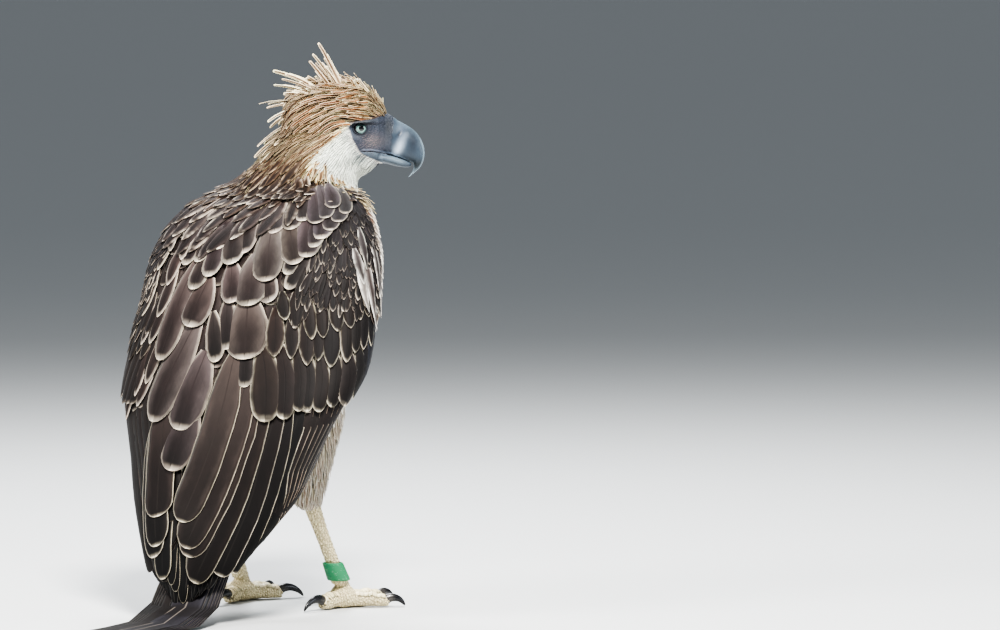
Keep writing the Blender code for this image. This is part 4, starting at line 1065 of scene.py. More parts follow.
# the dark outer feathers at the wrist, and the two long white-edged ones on the shoulder
from_picture(coverts, (((371, 296), (357, 399), 15, 1.6, 3.4), ((376, 306), (364, 388), 11, 0.8, 2.6)), rgb(62, 64, 74), "long", 7, 0.0004, 0.3, 0.05, rgb(120, 122, 130))
from_picture(coverts, (((354, 250), (361, 286), 9, 6.4, 8.8), ((357, 262), (365, 314), 9, 6.2, 9.2), ((363, 256), (371, 332), 9, 5.8, 8.8), ((368, 240), (374, 300), 7, 5.4, 8.4), ((373, 250), (378, 318), 6, 4.8, 7.8), ((358, 230), (364, 272), 7, 5.8, 8.2)),
             (rgb(96, 86, 84), rgb(222, 218, 212), rgb(112, 98, 92), rgb(104, 96, 96), rgb(120, 112, 112), rgb(92, 84, 84)), "lance", 7, (0.0015, 0.0022, 0.0018, 0.0012, 0.0010, 0.0008), 0.6, 0.05, WHITE, shafted=0.0)


def covert_rows(coat, side, top, low, inside, seed, drift=0.0):
    """Small coverts in staggered rows down the wing's front part, growing downwards; inside(z) is where they start, in degrees."""
    own = np.random.default_rng(seed)
    z, k = top, 0
    roots, tips, widths, tints = [], [], [], []
    edges, rims = [], []
    while z > low:
        t = (top - z) / (top - low)
        wide = 0.0072 + 0.0028 * t
        long = 0.025 + 0.015 * t
        a = float(np.interp(z, SHELL_FINE[:, 0], SHELL_FINE[:, 2]))
        start, stop = inside(z), float(np.interp(z, WING_Z, WING_FRONT)) + 3
        gap = math.degrees(wide * 0.84 / max(a * 0.8, 0.03))
        for phi in np.arange(start + gap * 0.5 * (k % 2), stop, gap):
            jz, jp = own.normal(0, 0.0055), own.normal(0, gap * 0.30)
            reach = long * own.uniform(0.72, 1.25)
            roots.append((z + jz, side * (phi + jp)))
            tips.append((z + jz - reach, side * (phi + jp + own.normal(0, gap * 0.55) - drift * long / 0.03)))
            widths.append(wide * own.uniform(0.85, 1.25))
            grey = np.array(rgb(72, 65, 69)) * (1 - t) + np.array(SEPIA) * t
            tints.append(grey * own.uniform(0.55, 1.30) * (1 + own.normal(0, 0.03, 3)))
            bright = own.random() ** 1.3
            edges.append(0.00030 + (0.0002 + 0.0007 * t) * bright)
            rims.append((np.array(rgb(150, 134, 126)) * (1 - bright) + np.array(CREAM) * bright) * (0.26 + 0.74 * min(t / 0.50, 1)))
        z -= long * 0.30
        k += 1
    shell_vanes(coat, roots, tips, np.array(widths), 0.0030, 0.0060, "point", 5, np.clip(np.array(tints), 0.003, 1), np.array(rims), np.array(edges), 0.65, wave=0.05)


def inside_right(z):
    """Where the small coverts start on the right wing, from points of the picture."""
    return float(np.interp(z, (0.36, 0.40, 0.44, 0.48, 0.52), IN_RIGHT))


bounds = seen([(262, 330), (292, 300), (306, 268), (324, 232), (340, 205)])
order = np.argsort(bounds[:, 0])
IN_RIGHT = np.interp((0.36, 0.40, 0.44, 0.48, 0.52), bounds[order, 0], -bounds[order, 1])
covert_rows(coverts, -1, 0.532, 0.412, inside_right, 21)
finish_coat(coverts, M_COVERT)

coverts_left = Coat("coverts_left")
covert_rows(coverts_left, 1, 0.532, 0.400, lambda z: float(np.interp(z, (0.36, 0.44, 0.52), (58, 52, 48))), 22)
# the left wing's larger coverts mirror the right wing's rows, and go on round its front edge
for rows, kind, nu, fringe in ((GREATER, "long", 7, 0.0020), (MEDIAN, "point", 5, 0.0016), (LESSER_LAST, "point", 5, 0.0015)):
    roots, tips = seen([r[0] for r in rows]) * (1, -1), seen([r[1] for r in rows]) * (1, -1)
    keep = tips[:, 1] > 44
    wide = np.array([r[2] for r in rows]) * PIXEL
    if keep.any():
        shell_vanes(coverts_left, roots[keep], tips[keep], wide[keep], 0.0022, 0.0052, kind, nu, jitter(int(keep.sum()), SEPIA, 0.12), rgb(196, 182, 166), fringe * 0.6, 0.5)
for coat_side, coat in ((1, coverts_left),):
    for z0, long, wide, count, high in ((0.335, 0.085, 0.026, 7, 0.0046), (0.372, 0.066, 0.022, 8, 0.0054), (0.405, 0.050, 0.018, 9, 0.0060)):
        phi = np.linspace(88, np.interp(z0, WING_Z, WING_FRONT) + 2, count)
        shell_vanes(coat, np.stack([np.full(count, z0 + long * 0.5), coat_side * phi], -1), np.stack([np.full(count, z0 - long * 0.5), coat_side * (phi - 3)], -1),
                    wide, 0.0020, high - 0.0004, "point", 5, jitter(count, SEPIA, 0.12), rgb(170, 156, 142), 0.0008, 0.5)
finish_coat(coverts_left, M_COVERT)

# ---------------------------------------------------------------- scapulars and mantle
RIGHT_SCAPULARS = (
    # from the lowest up, so that the order tells which lies over which
    ((296, 194), (292, 232), 24, 3.2, 6.0, rgb(88, 75, 71)), ((306, 190), (304, 224), 21, 3.6, 6.6, rgb(90, 78, 75)), ((280, 196), (277, 236), 24, 2.8, 5.4, rgb(86, 73, 69)),
    ((243, 330), (246, 388), 22, 2.2, 4.6, DUSK), ((262, 262), (272, 304), 24, 2.6, 5.0, BROWN), ((250, 296), (247, 361), 46, 3.0, 6.8, BROWN), ((233, 262), (235, 305), 26, 2.8, 5.6, BROWN),
    ((257, 254), (251, 308), 37, 3.4, 7.4, rgb(108, 92, 90)), ((312, 248), (288, 290), 18, 2.4, 5.0, DUSK), ((305, 240), (287, 276), 18, 2.6, 5.2, DUSK), ((274, 224), (268, 284), 34, 3.8, 7.8, rgb(106, 92, 86)),
    ((290, 218), (298, 267), 27, 3.4, 7.2, BROWN), ((310, 208), (309, 261), 29, 3.8, 7.8, rgb(100, 86, 86)), ((313, 202), (316, 250), 24, 3.2, 7.9, rgb(100, 88, 88)), ((319, 196), (323, 242), 26, 3.2, 8.2, LILAC_AND_SHEEN),
)
UPPER_FAN = (
    ((326, 190), (331, 234), 21, 3.4, 8.6, rgb(90, 82, 84)), ((333, 189), (339, 227), 20, 3.6, 8.9, rgb(92, 86, 89)), ((340, 190), (346, 218), 15, 3.8, 8.9, rgb(84, 79, 82)),
    ((313, 190), (318, 228), 22, 4.0, 9.2, rgb(88, 79, 80)), ((320, 187), (327, 223), 20, 4.2, 9.6, rgb(92, 85, 88)), ((328, 186), (335, 214), 17, 4.4, 9.9, rgb(90, 84, 87)),
)
LEFT_SCAPULARS = (
    ((196, 405), (173, 471), 41, 3.6, 7.2, rgb(80, 69, 68)), ((214, 312), (218, 364), 22, 2.4, 5.0, rgb(66, 56, 52)), ((229, 298), (227, 350), 24, 1.6, 4.0, rgb(74, 63, 59)),
    ((208, 224), (188, 268), 21, 3.0, 5.8, rgb(96, 82, 78)), ((220, 220), (201, 264), 22, 3.0, 6.0, rgb(100, 86, 82)), ((236, 208), (219, 252), 24, 3.0, 6.0, rgb(98, 84, 80)), ((256, 208), (246, 256), 26, 3.0, 5.8, rgb(94, 80, 76)),
    ((208, 352), (181, 431), 44, 2.8, 6.2, rgb(98, 84, 84)), ((200, 318), (157, 423), 42, 3.0, 6.8, rgb(102, 88, 86)), ((198, 262), (163, 362), 34, 3.2, 7.0, rgb(110, 92, 86)),
    ((212, 278), (191, 328), 36, 3.4, 7.2, rgb(100, 82, 76)), ((210, 252), (196, 291), 24, 3.4, 6.8, rgb(98, 84, 80)), ((228, 232), (211, 279), 25, 3.8, 7.4, rgb(104, 90, 88)), ((243, 215), (234, 267), 29, 4.0, 7.8, BROWN),
)
scapulars = Coat("scapulars")


def tract(coat, rows, share=1.0, **more):
    for root, tip, width, low, high, tint in rows:
        grey = float(np.mean(tint))
        from_picture(coat, ((root, tip, width, low, high),), tuple(share * (0.74 * c + 0.26 * grey) for c in tint), spread=0.05, **more)


tract(scapulars, (((286, 202), (284, 250), 27, 1.4, 3.2, rgb(76, 66, 64)), ((302, 200), (300, 240), 27, 1.4, 3.2, rgb(78, 68, 66)), ((270, 206), (264, 246), 27, 1.6, 3.4, rgb(76, 66, 62))), kind="round", nu=9, fringe=0.0, dark=1.0)
tract(scapulars, RIGHT_SCAPULARS, kind="round", nu=9, fringe=0.0014, dark=1.0)
tract(scapulars, UPPER_FAN, kind="round", nu=9, fringe=0.0009, dark=0.9)
tract(scapulars, LEFT_SCAPULARS, 0.80, kind="round", nu=9, fringe=0.0016, dark=1.0)
# narrow ones down the left wing's outer side
LEFT_NARROW = (
    ((190, 205), (180, 237), 13, 3.6, 6.4), ((184, 218), (174, 254), 14, 3.4, 6.2), ((176, 238), (161, 272), 14, 3.2, 6.0), ((168, 250), (153, 286), 13, 3.0, 5.8), ((160, 275), (146, 317), 12, 2.8, 5.6),
    ((157, 305), (144, 346), 13, 2.6, 5.4), ((152, 340), (138, 397), 15, 2.4, 5.0), ((144, 365), (129, 421), 14, 2.0, 4.4), ((188, 240), (170, 288), 18, 2.8, 5.4), ((178, 268), (160, 318), 18, 2.6, 5.2),
    ((170, 290), (152, 345), 18, 2.4, 5.0), ((166, 330), (148, 385), 18, 2.2, 4.8), ((158, 352), (140, 408), 18, 2.0, 4.6), ((200, 210), (190, 244), 15, 3.6, 6.2), ((196, 225), (184, 262), 16, 3.4, 6.0),
)
from_picture(scapulars, LEFT_NARROW, rgb(76, 63, 59), "point", 7, 0.0014, 0.8, 0.14, CREAM)


def shingles(coat, top, low, phi_of, wide_of, long_of, seed, tint_of, lift=(0.0012, 0.0046), kind="round", nu=5, fringe=0.0014, dark=0.7, lean=0.0, gap=0.40, across=0.72, loose=1.0, dim=1.0, keep=None):
    own = np.random.default_rng(seed)
    z, k = top, 0
    roots, tips, widths, tints = [], [], [], []
    while z > low:
        wide, long = wide_of(z), long_of(z)
        a = float(np.interp(z, SHELL_FINE[:, 0], SHELL_FINE[:, 2])) * 0.85
        b = float(np.interp(z, SHELL_FINE[:, 0], SHELL_FINE[:, 3]))
        start, stop = phi_of(z)
        phi = start
        while phi < stop:
            step = wide * across / max(math.hypot(a * math.cos(math.radians(phi)), b * math.sin(math.radians(phi))), 0.02)
            jz, jp = own.normal(0, long * 0.05 * loose), own.normal(0, math.degrees(step) * 0.10 * loose)
            here = (z + jz, phi + jp + math.degrees(step) * 0.5 * (k % 2))
            phi += math.degrees(step)
            if keep is not None and not keep(*here):
                continue
            roots.append(here)
            tips.append((here[0] - long * own.uniform(1 - 0.06 * loose, 1 + 0.06 * loose), here[1] + own.normal(0, 2.0 * loose) + lean * max(1 - abs(here[1] - 5) / 75, 0)))
            widths.append(wide * own.uniform(1 - 0.08 * loose, 1 + 0.12 * loose))
            tints.append(np.array(tint_of(*here)) * own.uniform(1 - 0.15 * loose, 1 + 0.12 * loose))
        z -= long * gap
        k += 1
    shell_vanes(coat, roots, tips, np.array(widths), lift[0], lift[1], kind, nu, np.array(tints), np.clip(jitter(len(roots), CREAM, 0.10, 0.03) * dim, 0, 1), fringe * own.uniform(1 - 0.35 * loose, 1 + 0.3 * loose, len(roots)), dark, wave=0.02)


# under the drawn ones, rows that leave no gap
shingles(scapulars, 0.520, 0.325, lambda z: (-np.interp(z, (0.25, 0.36, 0.46, 0.52), (60, 66, 60, 60)), np.interp(z, (0.25, 0.36, 0.46, 0.52), (70, 78, 66, 62))),
         lambda z: np.interp(z, (0.25, 0.52), (0.040, 0.026)), lambda z: np.interp(z, (0.25, 0.52), (0.078, 0.042)), 31, lambda z, phi: rgb(84, 73, 69), (-0.0018, 0.0010), fringe=0.0008, dim=0.50)
finish_coat(scapulars, M_SCAPULAR)

mantle = Coat("mantle")


def mantle_tone(z, phi):
    high = np.clip((z - 0.528) / 0.022, 0, 1)
    return np.array(rgb(95, 80, 77)) * (1 - high) + np.array(rgb(101, 78, 61)) * high


def mantle_keep(z, phi):
    """The mantle ends higher on the right, where the scapulars reach up, and runs lowest along the back's middle."""
    return z > np.interp(phi, (-60, -48, -36, -24, -8, 12, 30, 50, 70), (0.575, 0.568, 0.548, 0.530, 0.514, 0.500, 0.498, 0.504, 0.522))


shingles(mantle, 0.560, 0.490, lambda z: (-66, 74), lambda z: np.interp(z, (0.49, 0.52, 0.56), (0.0270, 0.0225, 0.0150)), lambda z: np.interp(z, (0.49, 0.52, 0.56), (0.056, 0.047, 0.034)), 33,
         mantle_tone, (0.0038, 0.0078), "point", 7, 0.0016, 1.0, 9, 0.34, 0.78, 1.5, keep=mantle_keep)
finish_coat(mantle, M_MANTLE)

# ---------------------------------------------------------------- the tail
tail = Coat("tail_feathers")
for k in range(6):
    for side in (-1, 1):
        wide = 0.050 - 0.001 * k
        end = TAIL_LONG - 0.001 - (0.0, 0.0012, 0.0032, 0.0062, 0.0104, 0.0160)[k] - (0.0012 if side > 0 else 0)
        at = np.linspace(0.004, end, 26)
        y, z, half, thick, ty, tz = tail_spine(at)
        middle = side * half * (0.15, 0.27, 0.38, 0.47, 0.54, 0.59)[k]
        spread = np.interp(at, (0, 0.12), (0.5, 1.0))
        level = (2.2 - 0.95 * k - (0.45 if side > 0 else 0.0)) * 0.001
        squeeze = np.interp(at, (0.18, 0.30), (1.0, 0.62))
        centre = np.stack([middle * spread, y, z], -1)
        out = np.stack([0 * y, -tz, ty], -1)
        centre = centre + out * (level * squeeze)[:, None]
        path_vanes(tail, centre[None], out[None], wide, 0.0, 0.0, "long", 9, jitter(1, rgb(62, 60, 66) if side < 0 else rgb(48, 42, 41), 0.05), rgb(150, 140, 130), 0.0007, 0.45, bars=0.55, shafted=0.3, arch=0.006, thick=0.0007,
                   spot=np.array([[0.5 + 0.02 * side * (k + 1), 0.02]]))
# coverts over the tail's root, behind and in front
for row, (at0, long, count) in enumerate(((0.055, 0.090, 7), (0.030, 0.080, 6), (0.006, 0.070, 5))):
    for side, tone in ((1, rgb(74, 64, 60)), (-1, rgb(232, 226, 212))):
        for x in np.linspace(-1, 1, count):
            at = np.linspace(at0, at0 + long, 10)
            y, z, half, thick, ty, tz = tail_spine(at)
            out = np.stack([0 * y, -tz * side, ty * side], -1)
            centre = np.stack([x * half * 0.72, y, z], -1) + out * (0.0042 + 0.0006 * row)
            path_vanes(tail, centre[None], out[None], 0.026, 0.0, 0.002, "round", 5, jitter(1, tone, 0.06), CREAM if side > 0 else WHITE, 0.0012, 0.4 if side > 0 else 0.1, spot=np.array([[0.5 + 0.05 * x, 0.30 + 0.02 * row]]))
finish_coat(tail, M_VANE)


# ---------------------------------------------------------------- small feathers over the outline
def local_vector(f, u, s):
    return RIGHT * f + ZED * u + SIDE * s


def lie(p):
    """The way that the small feathers lie at each place."""
    f, u, s = head_local(p)
    high = np.clip((p[:, 2] - 0.548) / 0.02, 0, 1)[:, None]
    face = np.clip((f - 0.015) / 0.04, 0, 1)
    brow = np.clip((f - 0.004) / 0.02, 0, 1) * np.clip((0.034 - u) / 0.02, 0, 1) * np.clip((u + 0.004) / 0.006, 0, 1)
    sweep = 0.16 * np.sin(f * 95 + u * 60) + 0.10 * np.sin(f * 210 - u * 150 + 1.3)
    back = np.stack([-1.0 + 0 * f, -0.50 - 0.6 * np.clip(-u / 0.05, 0, 1) - 0.5 * np.clip((-0.030 - f) / 0.03, 0, 1) + 0.25 * np.clip((u - 0.01) / 0.03, 0, 1) * face + 0.62 * brow + sweep, 0 * f], -1)
    crown = back[:, :1] * RIGHT + back[:, 1:2] * ZED
    # on the neck and trunk they point down, on the belly down and back towards the tail
    tail_ward = np.clip((0.26 - p[:, 2]) / 0.12, 0, 1)
    down = -ZED + np.array([0, 1.0, 0]) * tail_ward[:, None] * 0.9
    side_out = np.stack([np.sign(p[:, 0]) * np.clip(np.abs(p[:, 0]) / 0.12, 0, 1) * 0.25, 0 * f, 0 * f], -1)
    return crown * high + (down + side_out) * (1 - high)


def head_zone(p):
    return p[:, 2] > 0.553


def crown_share(p):
    return (1 - whiteness(p)) * (1 - facing_mask(p))


# the body's white front
def breast_keep(p, n):
    yc = np.interp(p[:, 2], SHELL_FINE[:, 0], SHELL_FINE[:, 1])
    thigh = (np.abs(np.abs(p[:, 0]) - 0.052) < 0.046) & (p[:, 2] < 0.262) & (p[:, 1] < 0.11)
    hidden = (p[:, 1] > yc - 0.012) & (p[:, 2] > 0.20) & (np.abs(p[:, 0]) < 0.12) & (p[:, 1] > 0.10)
    return (~on_wing(p) & ~thigh & ~hidden & (p[:, 2] < 0.556)).astype(float)


breast = Coat("breast", True)
p, n = scatter(breast_keep, lambda q: np.interp(q[:, 2], (0.12, 0.2, 0.45, 0.55), (0.0080, 0.0088, 0.0086, 0.0060)), 41)
long = np.interp(p[:, 2], (0.12, 0.3, 0.5, 0.56), (0.030, 0.034, 0.028, 0.018)) * rng.uniform(0.85, 1.15, len(p))
P, N = follow(p, n, long, lie)
white = whiteness(p)[:, None]
tint = jitter(len(p), WHITE, 0.07, 0.015) * white + jitter(len(p), rgb(112, 90, 74), 0.12) * (1 - white)
path_vanes(breast, P, N, long * rng.uniform(0.52, 0.64, len(p)), -0.0028, 0.0016, "point", 5, tint, np.where(white > 0.5, WHITE, CREAM), np.where(white[:, 0] > 0.5, 0.0, 0.0012), 0.3, arch=0.10, wave=0.05)
finish_coat(breast, M_DOWN)

# small feathers round the wings' front edges and over the shoulders
edge = Coat("wing_edges", True)


def edge_keep(p, n):
    phi, out = wing_place(p)
    front = np.interp(p[:, 2], WING_Z, WING_FRONT)
    return ((np.abs(phi) > front - 14) & (np.abs(phi) < front + 5) & (np.abs(out) < 0.016) & (p[:, 2] < 0.545) & (p[:, 2] > 0.385) & (np.abs(p[:, 0]) > 0.09)).astype(float)


p, n = scatter(edge_keep, 0.0078, 42)
long = np.interp(p[:, 2], (0.22, 0.5), (0.030, 0.016)) * rng.uniform(0.85, 1.15, len(p))
P, N = follow(p, n, long, lie)
path_vanes(edge, P, N, long * 0.48, -0.0010, 0.0030, "point", 5, jitter(len(p), rgb(76, 68, 70), 0.22), jitter(len(p), rgb(110, 101, 98), 0.3), 0.0004, 0.5, arch=0.08)
finish_coat(edge, M_COVERT)

# thighs
thighs = Coat("thigh_feathers", True)


def thigh_keep(p, n):
    near = np.full(len(p), 9.0)
    for side in (-1, 1):
        x, y, half, depth = look_up(THIGH_FINE, p[:, 2])
        near = np.minimum(near, np.hypot((p[:, 0] - side * x) / half, (p[:, 1] - y) / depth))
    return ((near < 1.12) & (p[:, 2] < 0.30)).astype(float)


p, n = scatter(thigh_keep, lambda q: np.interp(q[:, 2], (0.14, 0.22), (0.0046, 0.0064)), 43)
long = np.interp(p[:, 2], (0.14, 0.26), (0.020, 0.034)) * rng.uniform(0.8, 1.15, len(p))
P, N = follow(p, n, long, lambda q: np.broadcast_to(-ZED, q.shape), 4)
path_vanes(thighs, P, N, long * 0.26, -0.0022, 0.0022, "lance", 5, jitter(len(p), rgb(226, 212, 190), 0.06), WHITE, 0.0006, 0.75, arch=0.06, lift=0.0006, wave=0.05)
finish_coat(thighs, M_LANCE)

def soft_edge(distance, wide):
    """1 just past an edge, fading away over the width."""
    return np.clip(distance / 0.001, 0, 1) * np.clip(1 - distance / wide, 0, 1)


# cheeks and throat: short, soft and white
cheek = Coat("cheek_and_throat", True)
p, n = scatter(lambda p, n: head_zone(p) * whiteness(p) * (1 - facing_mask(p)), lambda q: np.interp(q[:, 2], (0.55, 0.58, 0.62), (0.0032, 0.0026, 0.0020)), 44)
long = np.interp(p[:, 2], (0.55, 0.565, 0.60, 0.63), (0.026, 0.020, 0.014, 0.0085)) * rng.uniform(0.85, 1.2, len(p))
P, N = follow(p, n, long, lie, 3)
mint = rgb(243, 248, 238)
f, u, s = head_local(p)
yellow = np.clip(1 - (f - np.interp(u, CHEEK_U, CHEEK_F)) / 0.012, 0, 1)[:, None]
tint = jitter(len(p), mint, 0.03, 0.01) * (1 - yellow * 0.75) + np.array(rgb(236, 214, 150)) * yellow * 0.75
streaks = np.exp(-(((f - 0.026) / 0.016) ** 2 + ((u + 0.040) / 0.007) ** 2)) * 0.65 + soft_edge(np.interp(f, CHIN_F, CHIN_U) - u, 0.006) * np.clip((f - 0.026) / 0.01, 0, 1) * 0.6
beside = np.maximum(facing_mask(p + RIGHT * 0.0035), 0.55 * facing_mask(p + RIGHT * 0.0075 + ZED * 0.002))
streaks = (np.clip(streaks + 0.55 * beside, 0, 1) * rng.random(len(p)) ** 1.1)[:, None]
tint = tint * (1 - streaks) + np.array(rgb(112, 120, 120)) * streaks
path_vanes(cheek, P, N, long * 0.20, -0.0018, 0.0005, "lance", 3, tint, WHITE, 0.0, 0.10, arch=0.08, lift=0.0006)
finish_coat(cheek, M_DOWN)

# crown, nape and the sides of the neck: long narrow feathers with dark shafts
nape = Coat("crown_and_nape", True)
p, n = scatter(lambda p, n: (p[:, 2] > 0.530) * crown_share(p) * ~on_wing(p), lambda q: np.interp(q[:, 2], (0.53, 0.56, 0.62, 0.67), (0.0058, 0.0050, 0.0036, 0.0030)), 45)
f, u, s = head_local(p)
front = np.clip((f - 0.01) / 0.045, 0, 1)
low_neck = np.clip((0.572 - p[:, 2]) / 0.03, 0, 1)[:, None]
long = np.interp(p[:, 2], (0.53, 0.57, 0.62, 0.68), (0.038, 0.050, 0.054, 0.044)) * (1 - 0.62 * front) * rng.uniform(0.75, 1.25, len(p))
P, N = follow(p, n, long, lie, 6)
gold = jitter(len(p), GOLD, 0.24, 0.07)
pale = (rng.random((len(p), 1)) < 0.30) * 0.65
gold = gold * (1 - pale) + np.array(PALE_GOLD) * pale
behind = np.clip((-0.012 - f) / 0.03, 0, 1)[:, None]
gold = gold * np.clip(0.90 + 0.24 * np.sin(f * 120 + u * 230) * np.sin(f * 70 - u * 160 + 0.8), 0.6, 1.2)[:, None]
gold = gold * (1 - 0.58 * behind * np.array((0.94, 1.0, 1.04)))
tint = gold * (1 - low_neck) + jitter(len(p), rgb(104, 76, 56), 0.22) * low_neck
width = (0.0043 + 0.0036 * low_neck[:, 0]) * rng.uniform(0.8, 1.2, len(p)) * (1 - 0.35 * front)
# strands that lie low get darker tints and rims: painted shade, as if the strands over them shadowed them
raised = rng.random(len(p)) ** 1.5
low_strand_shade = (0.46 + 0.58 * raised)[:, None] * (1 - 0.14 * behind)
path_vanes(nape, P, N, width, -0.0020, 0.0030, "lance", 5, np.clip(tint * low_strand_shade, 0, 1), np.clip(jitter(len(p), rgb(250, 228, 188), 0.26, 0.03) * (1 - 0.46 * behind) * (0.30 + 0.70 * low_strand_shade), 0, 1), 0.0005 + 0.0006 * low_neck[:, 0], 1.0, arch=-0.04, thick=0.0009, lift=0.0034 * raised, wave=0.05)
finish_coat(nape, M_LANCE)

# a collar of dark feathers with pale gold edges, over the mantle's and the shoulder's first rows
collar = Coat("neck_collar", True)
p, n = scatter(lambda p, n: ((p[:, 2] > 0.538) & (p[:, 2] < 0.592) & (head_local(p)[0] < 0.010)) * crown_share(p), 0.0100, 49)
long = rng.uniform(0.036, 0.054, len(p))


def collar_lie(q):
    f, u, s = head_local(q)
    return -ZED + RIGHT * np.clip((f + 0.004) / 0.050, -0.75, 0.22)[:, None]


P, N = follow(p, n, long, collar_lie, 6)
high = np.interp(p[:, 2], (0.538, 0.560, 0.592), (0.0088, 0.0084, 0.0052))
warm = np.clip((p[:, 2] - 0.555) / 0.03, 0, 1)[:, None]
tint = jitter(len(p), rgb(100, 82, 72), 0.20) * (1 - warm) + jitter(len(p), rgb(122, 92, 64), 0.22) * warm
rims = jitter(len(p), CREAM, 0.10, 0.03) * (1 - 0.6 * warm) + jitter(len(p), rgb(226, 190, 138), 0.12, 0.03) * 0.6 * warm
bare = whiteness(p + ZED * 0.012 + RIGHT * 0.014) > 0.2
path_vanes(collar, P, N, rng.uniform(0.0120, 0.0170, len(p)) * (1 - 0.35 * warm[:, 0]), np.where(bare, -0.0050, 0.0012), high, "point", 7, tint, rims, 0.0010, 1.0, arch=0.05, thick=0.0008, wave=0.05)
finish_coat(collar, M_MANTLE)

# brown and pale gold strands where the white throat meets the collar and the shoulder
border = Coat("throat_border", True)
p, n = scatter(lambda p, n: ((p[:, 2] > 0.542) & (p[:, 2] < 0.590) & (whiteness(p) > 0.5) & (whiteness(p - RIGHT * 0.015) < 0.5)).astype(float), 0.0062, 50)
long = rng.uniform(0.024, 0.036, len(p))
P, N = follow(p, n, long, collar_lie, 6)
shade = rng.random((len(p), 1))
tint = jitter(len(p), rgb(126, 96, 68), 0.20, 0.04) * (1 - shade) + jitter(len(p), rgb(206, 176, 128), 0.12, 0.04) * shade
phi, out = wing_place(P[:, -1])
over = (np.abs(phi) < np.interp(P[:, -1, 2], WING_Z, WING_FRONT) + 6) & (P[:, -1, 2] < 0.548)
path_vanes(border, P, N, rng.uniform(0.0048, 0.0080, len(p)), -0.0045, np.interp(p[:, 2], (0.542, 0.560, 0.590), (0.0095, 0.0088, 0.0046)) + 0.0042 * over, "lance", 5, tint, jitter(len(p), rgb(244, 226, 186), 0.10, 0.03), 0.0009, 1.0, arch=0.0, thick=0.0007, wave=0.05)
finish_coat(border, M_LANCE)

# the crest: long strands raised over the crown and nape, some drawn where the picture has them
SPIKES = (
    (((346, 96), (338, 80), (329, 60), (319, 43)), 7), (((344, 98), (334, 82), (324, 67), (313, 54)), 6), (((340, 100), (330, 86), (320, 72), (310, 61)), 6),
    (((338, 104), (318, 88), (298, 76), (273, 71)), 7), (((336, 106), (316, 95), (296, 86), (274, 85)), 5), (((332, 108), (314, 98), (298, 92), (284, 94)), 7),
    (((328, 112), (306, 100), (282, 97), (259, 104)), 6), (((330, 114), (312, 103), (297, 102), (283, 106)), 6), (((328, 116), (306, 104), (286, 108), (268, 122)), 6),
    (((322, 118), (300, 108), (282, 114), (270, 128)), 5), (((318, 124), (296, 116), (276, 128), (257, 147)), 6), (((314, 130), (292, 126), (272, 138), (254, 158)), 6),
    (((310, 140), (288, 138), (270, 150), (256, 168)), 6), (((356, 92), (350, 88), (347, 84), (346, 79)), 5), (((362, 92), (356, 88), (353, 83), (351, 78)), 5), (((368, 94), (362, 88), (358, 84), (356, 79)), 5),
    (((336, 100), (324, 90), (314, 82), (306, 78)), 6), (((330, 102), (316, 92), (306, 84), (300, 82)), 6), (((340, 96), (336, 84), (330, 76), (327, 66)), 6),
)
crest = Coat("crest_strands", True)
own = np.random.default_rng(46)
paths, normals, widths = [], [], []
for spike, wide in SPIKES:
    for copy in range(5):
        base = np.array(spike, float)
        shrink = 1.0 if copy == 0 else own.uniform(0.62, 0.97)
        offset = own.normal(0, 1.6, 2) if copy else np.zeros(2)
        pts = base[0] + (base - base[0]) * shrink + offset
        turn = own.normal(0, 0.06) if copy else 0
        rel = pts - pts[0]
        pts = pts[0] + np.stack([rel[:, 0] * math.cos(turn) - rel[:, 1] * math.sin(turn), rel[:, 0] * math.sin(turn) + rel[:, 1] * math.cos(turn)], -1)
        s0 = own.uniform(-0.016, 0.018) if copy else own.uniform(0.000, 0.014)
        s = s0 * np.array([1.0, 1.25, 1.6, 2.0])
        line = head_px(pts[:, 0], pts[:, 1], s)
        t = np.linspace(0, 1, 9)[:, None]
        line = line[0] * (1 - t) ** 3 + 3 * line[1] * t * (1 - t) ** 2 + 3 * line[2] * t ** 2 * (1 - t) + line[3] * t ** 3
        paths.append(line)
        tilt = own.normal(0.0, 0.45)
        up = np.cross(line[-1] - line[0], SIDE)
        up /= np.linalg.norm(up)
        up = up if up @ ZED > 0 or up @ RIGHT < 0 else -up
        normals.append(np.broadcast_to(SIDE * math.cos(tilt) + up * math.sin(tilt), line.shape))
        widths.append(wide * 0.86 * PIXEL * (1.0 if copy == 0 else own.uniform(0.65, 0.95)))
paths, normals, widths = np.array(paths), np.array(normals), np.array(widths)
# strands all over the crown and nape, rising a little
p, n = scatter(lambda p, n: (p[:, 2] > 0.575) * crown_share(p), 0.0068, 47)
f, u, s = head_local(p)
p, n, f, u = (q[(f < 0.045)] for q in (p, n, f, u))
long = (0.048 + 0.022 * np.clip(-(f) / 0.05, 0, 1)) * rng.uniform(0.7, 1.25, len(p)) * (1 - 0.4 * np.clip(f / 0.045, 0, 1))
P, N = follow(p, n, long, lie, 8)
rise = np.clip((u + 0.02) / 0.05, 0.15, 1) * rng.uniform(0.3, 1.3, len(p))
bow = np.linspace(0, 1, 9)[None, :, None] ** 1.6
P = P + n[:, None] * bow * (0.013 * rise)[:, None, None]
f2 = np.concatenate([np.full(len(paths), 1.0), np.full(len(P), 0.0)])
crest_tint = jitter(len(f2), rgb(178, 130, 84), 0.30, 0.07) * (1 - f2[:, None]) + jitter(len(f2), rgb(218, 192, 158), 0.10, 0.04) * f2[:, None]
dim = np.concatenate([np.zeros(len(paths)), np.clip((-0.010 - f) / 0.030, 0, 1)])[:, None]
crest_tint = crest_tint * (1 - 0.60 * dim)
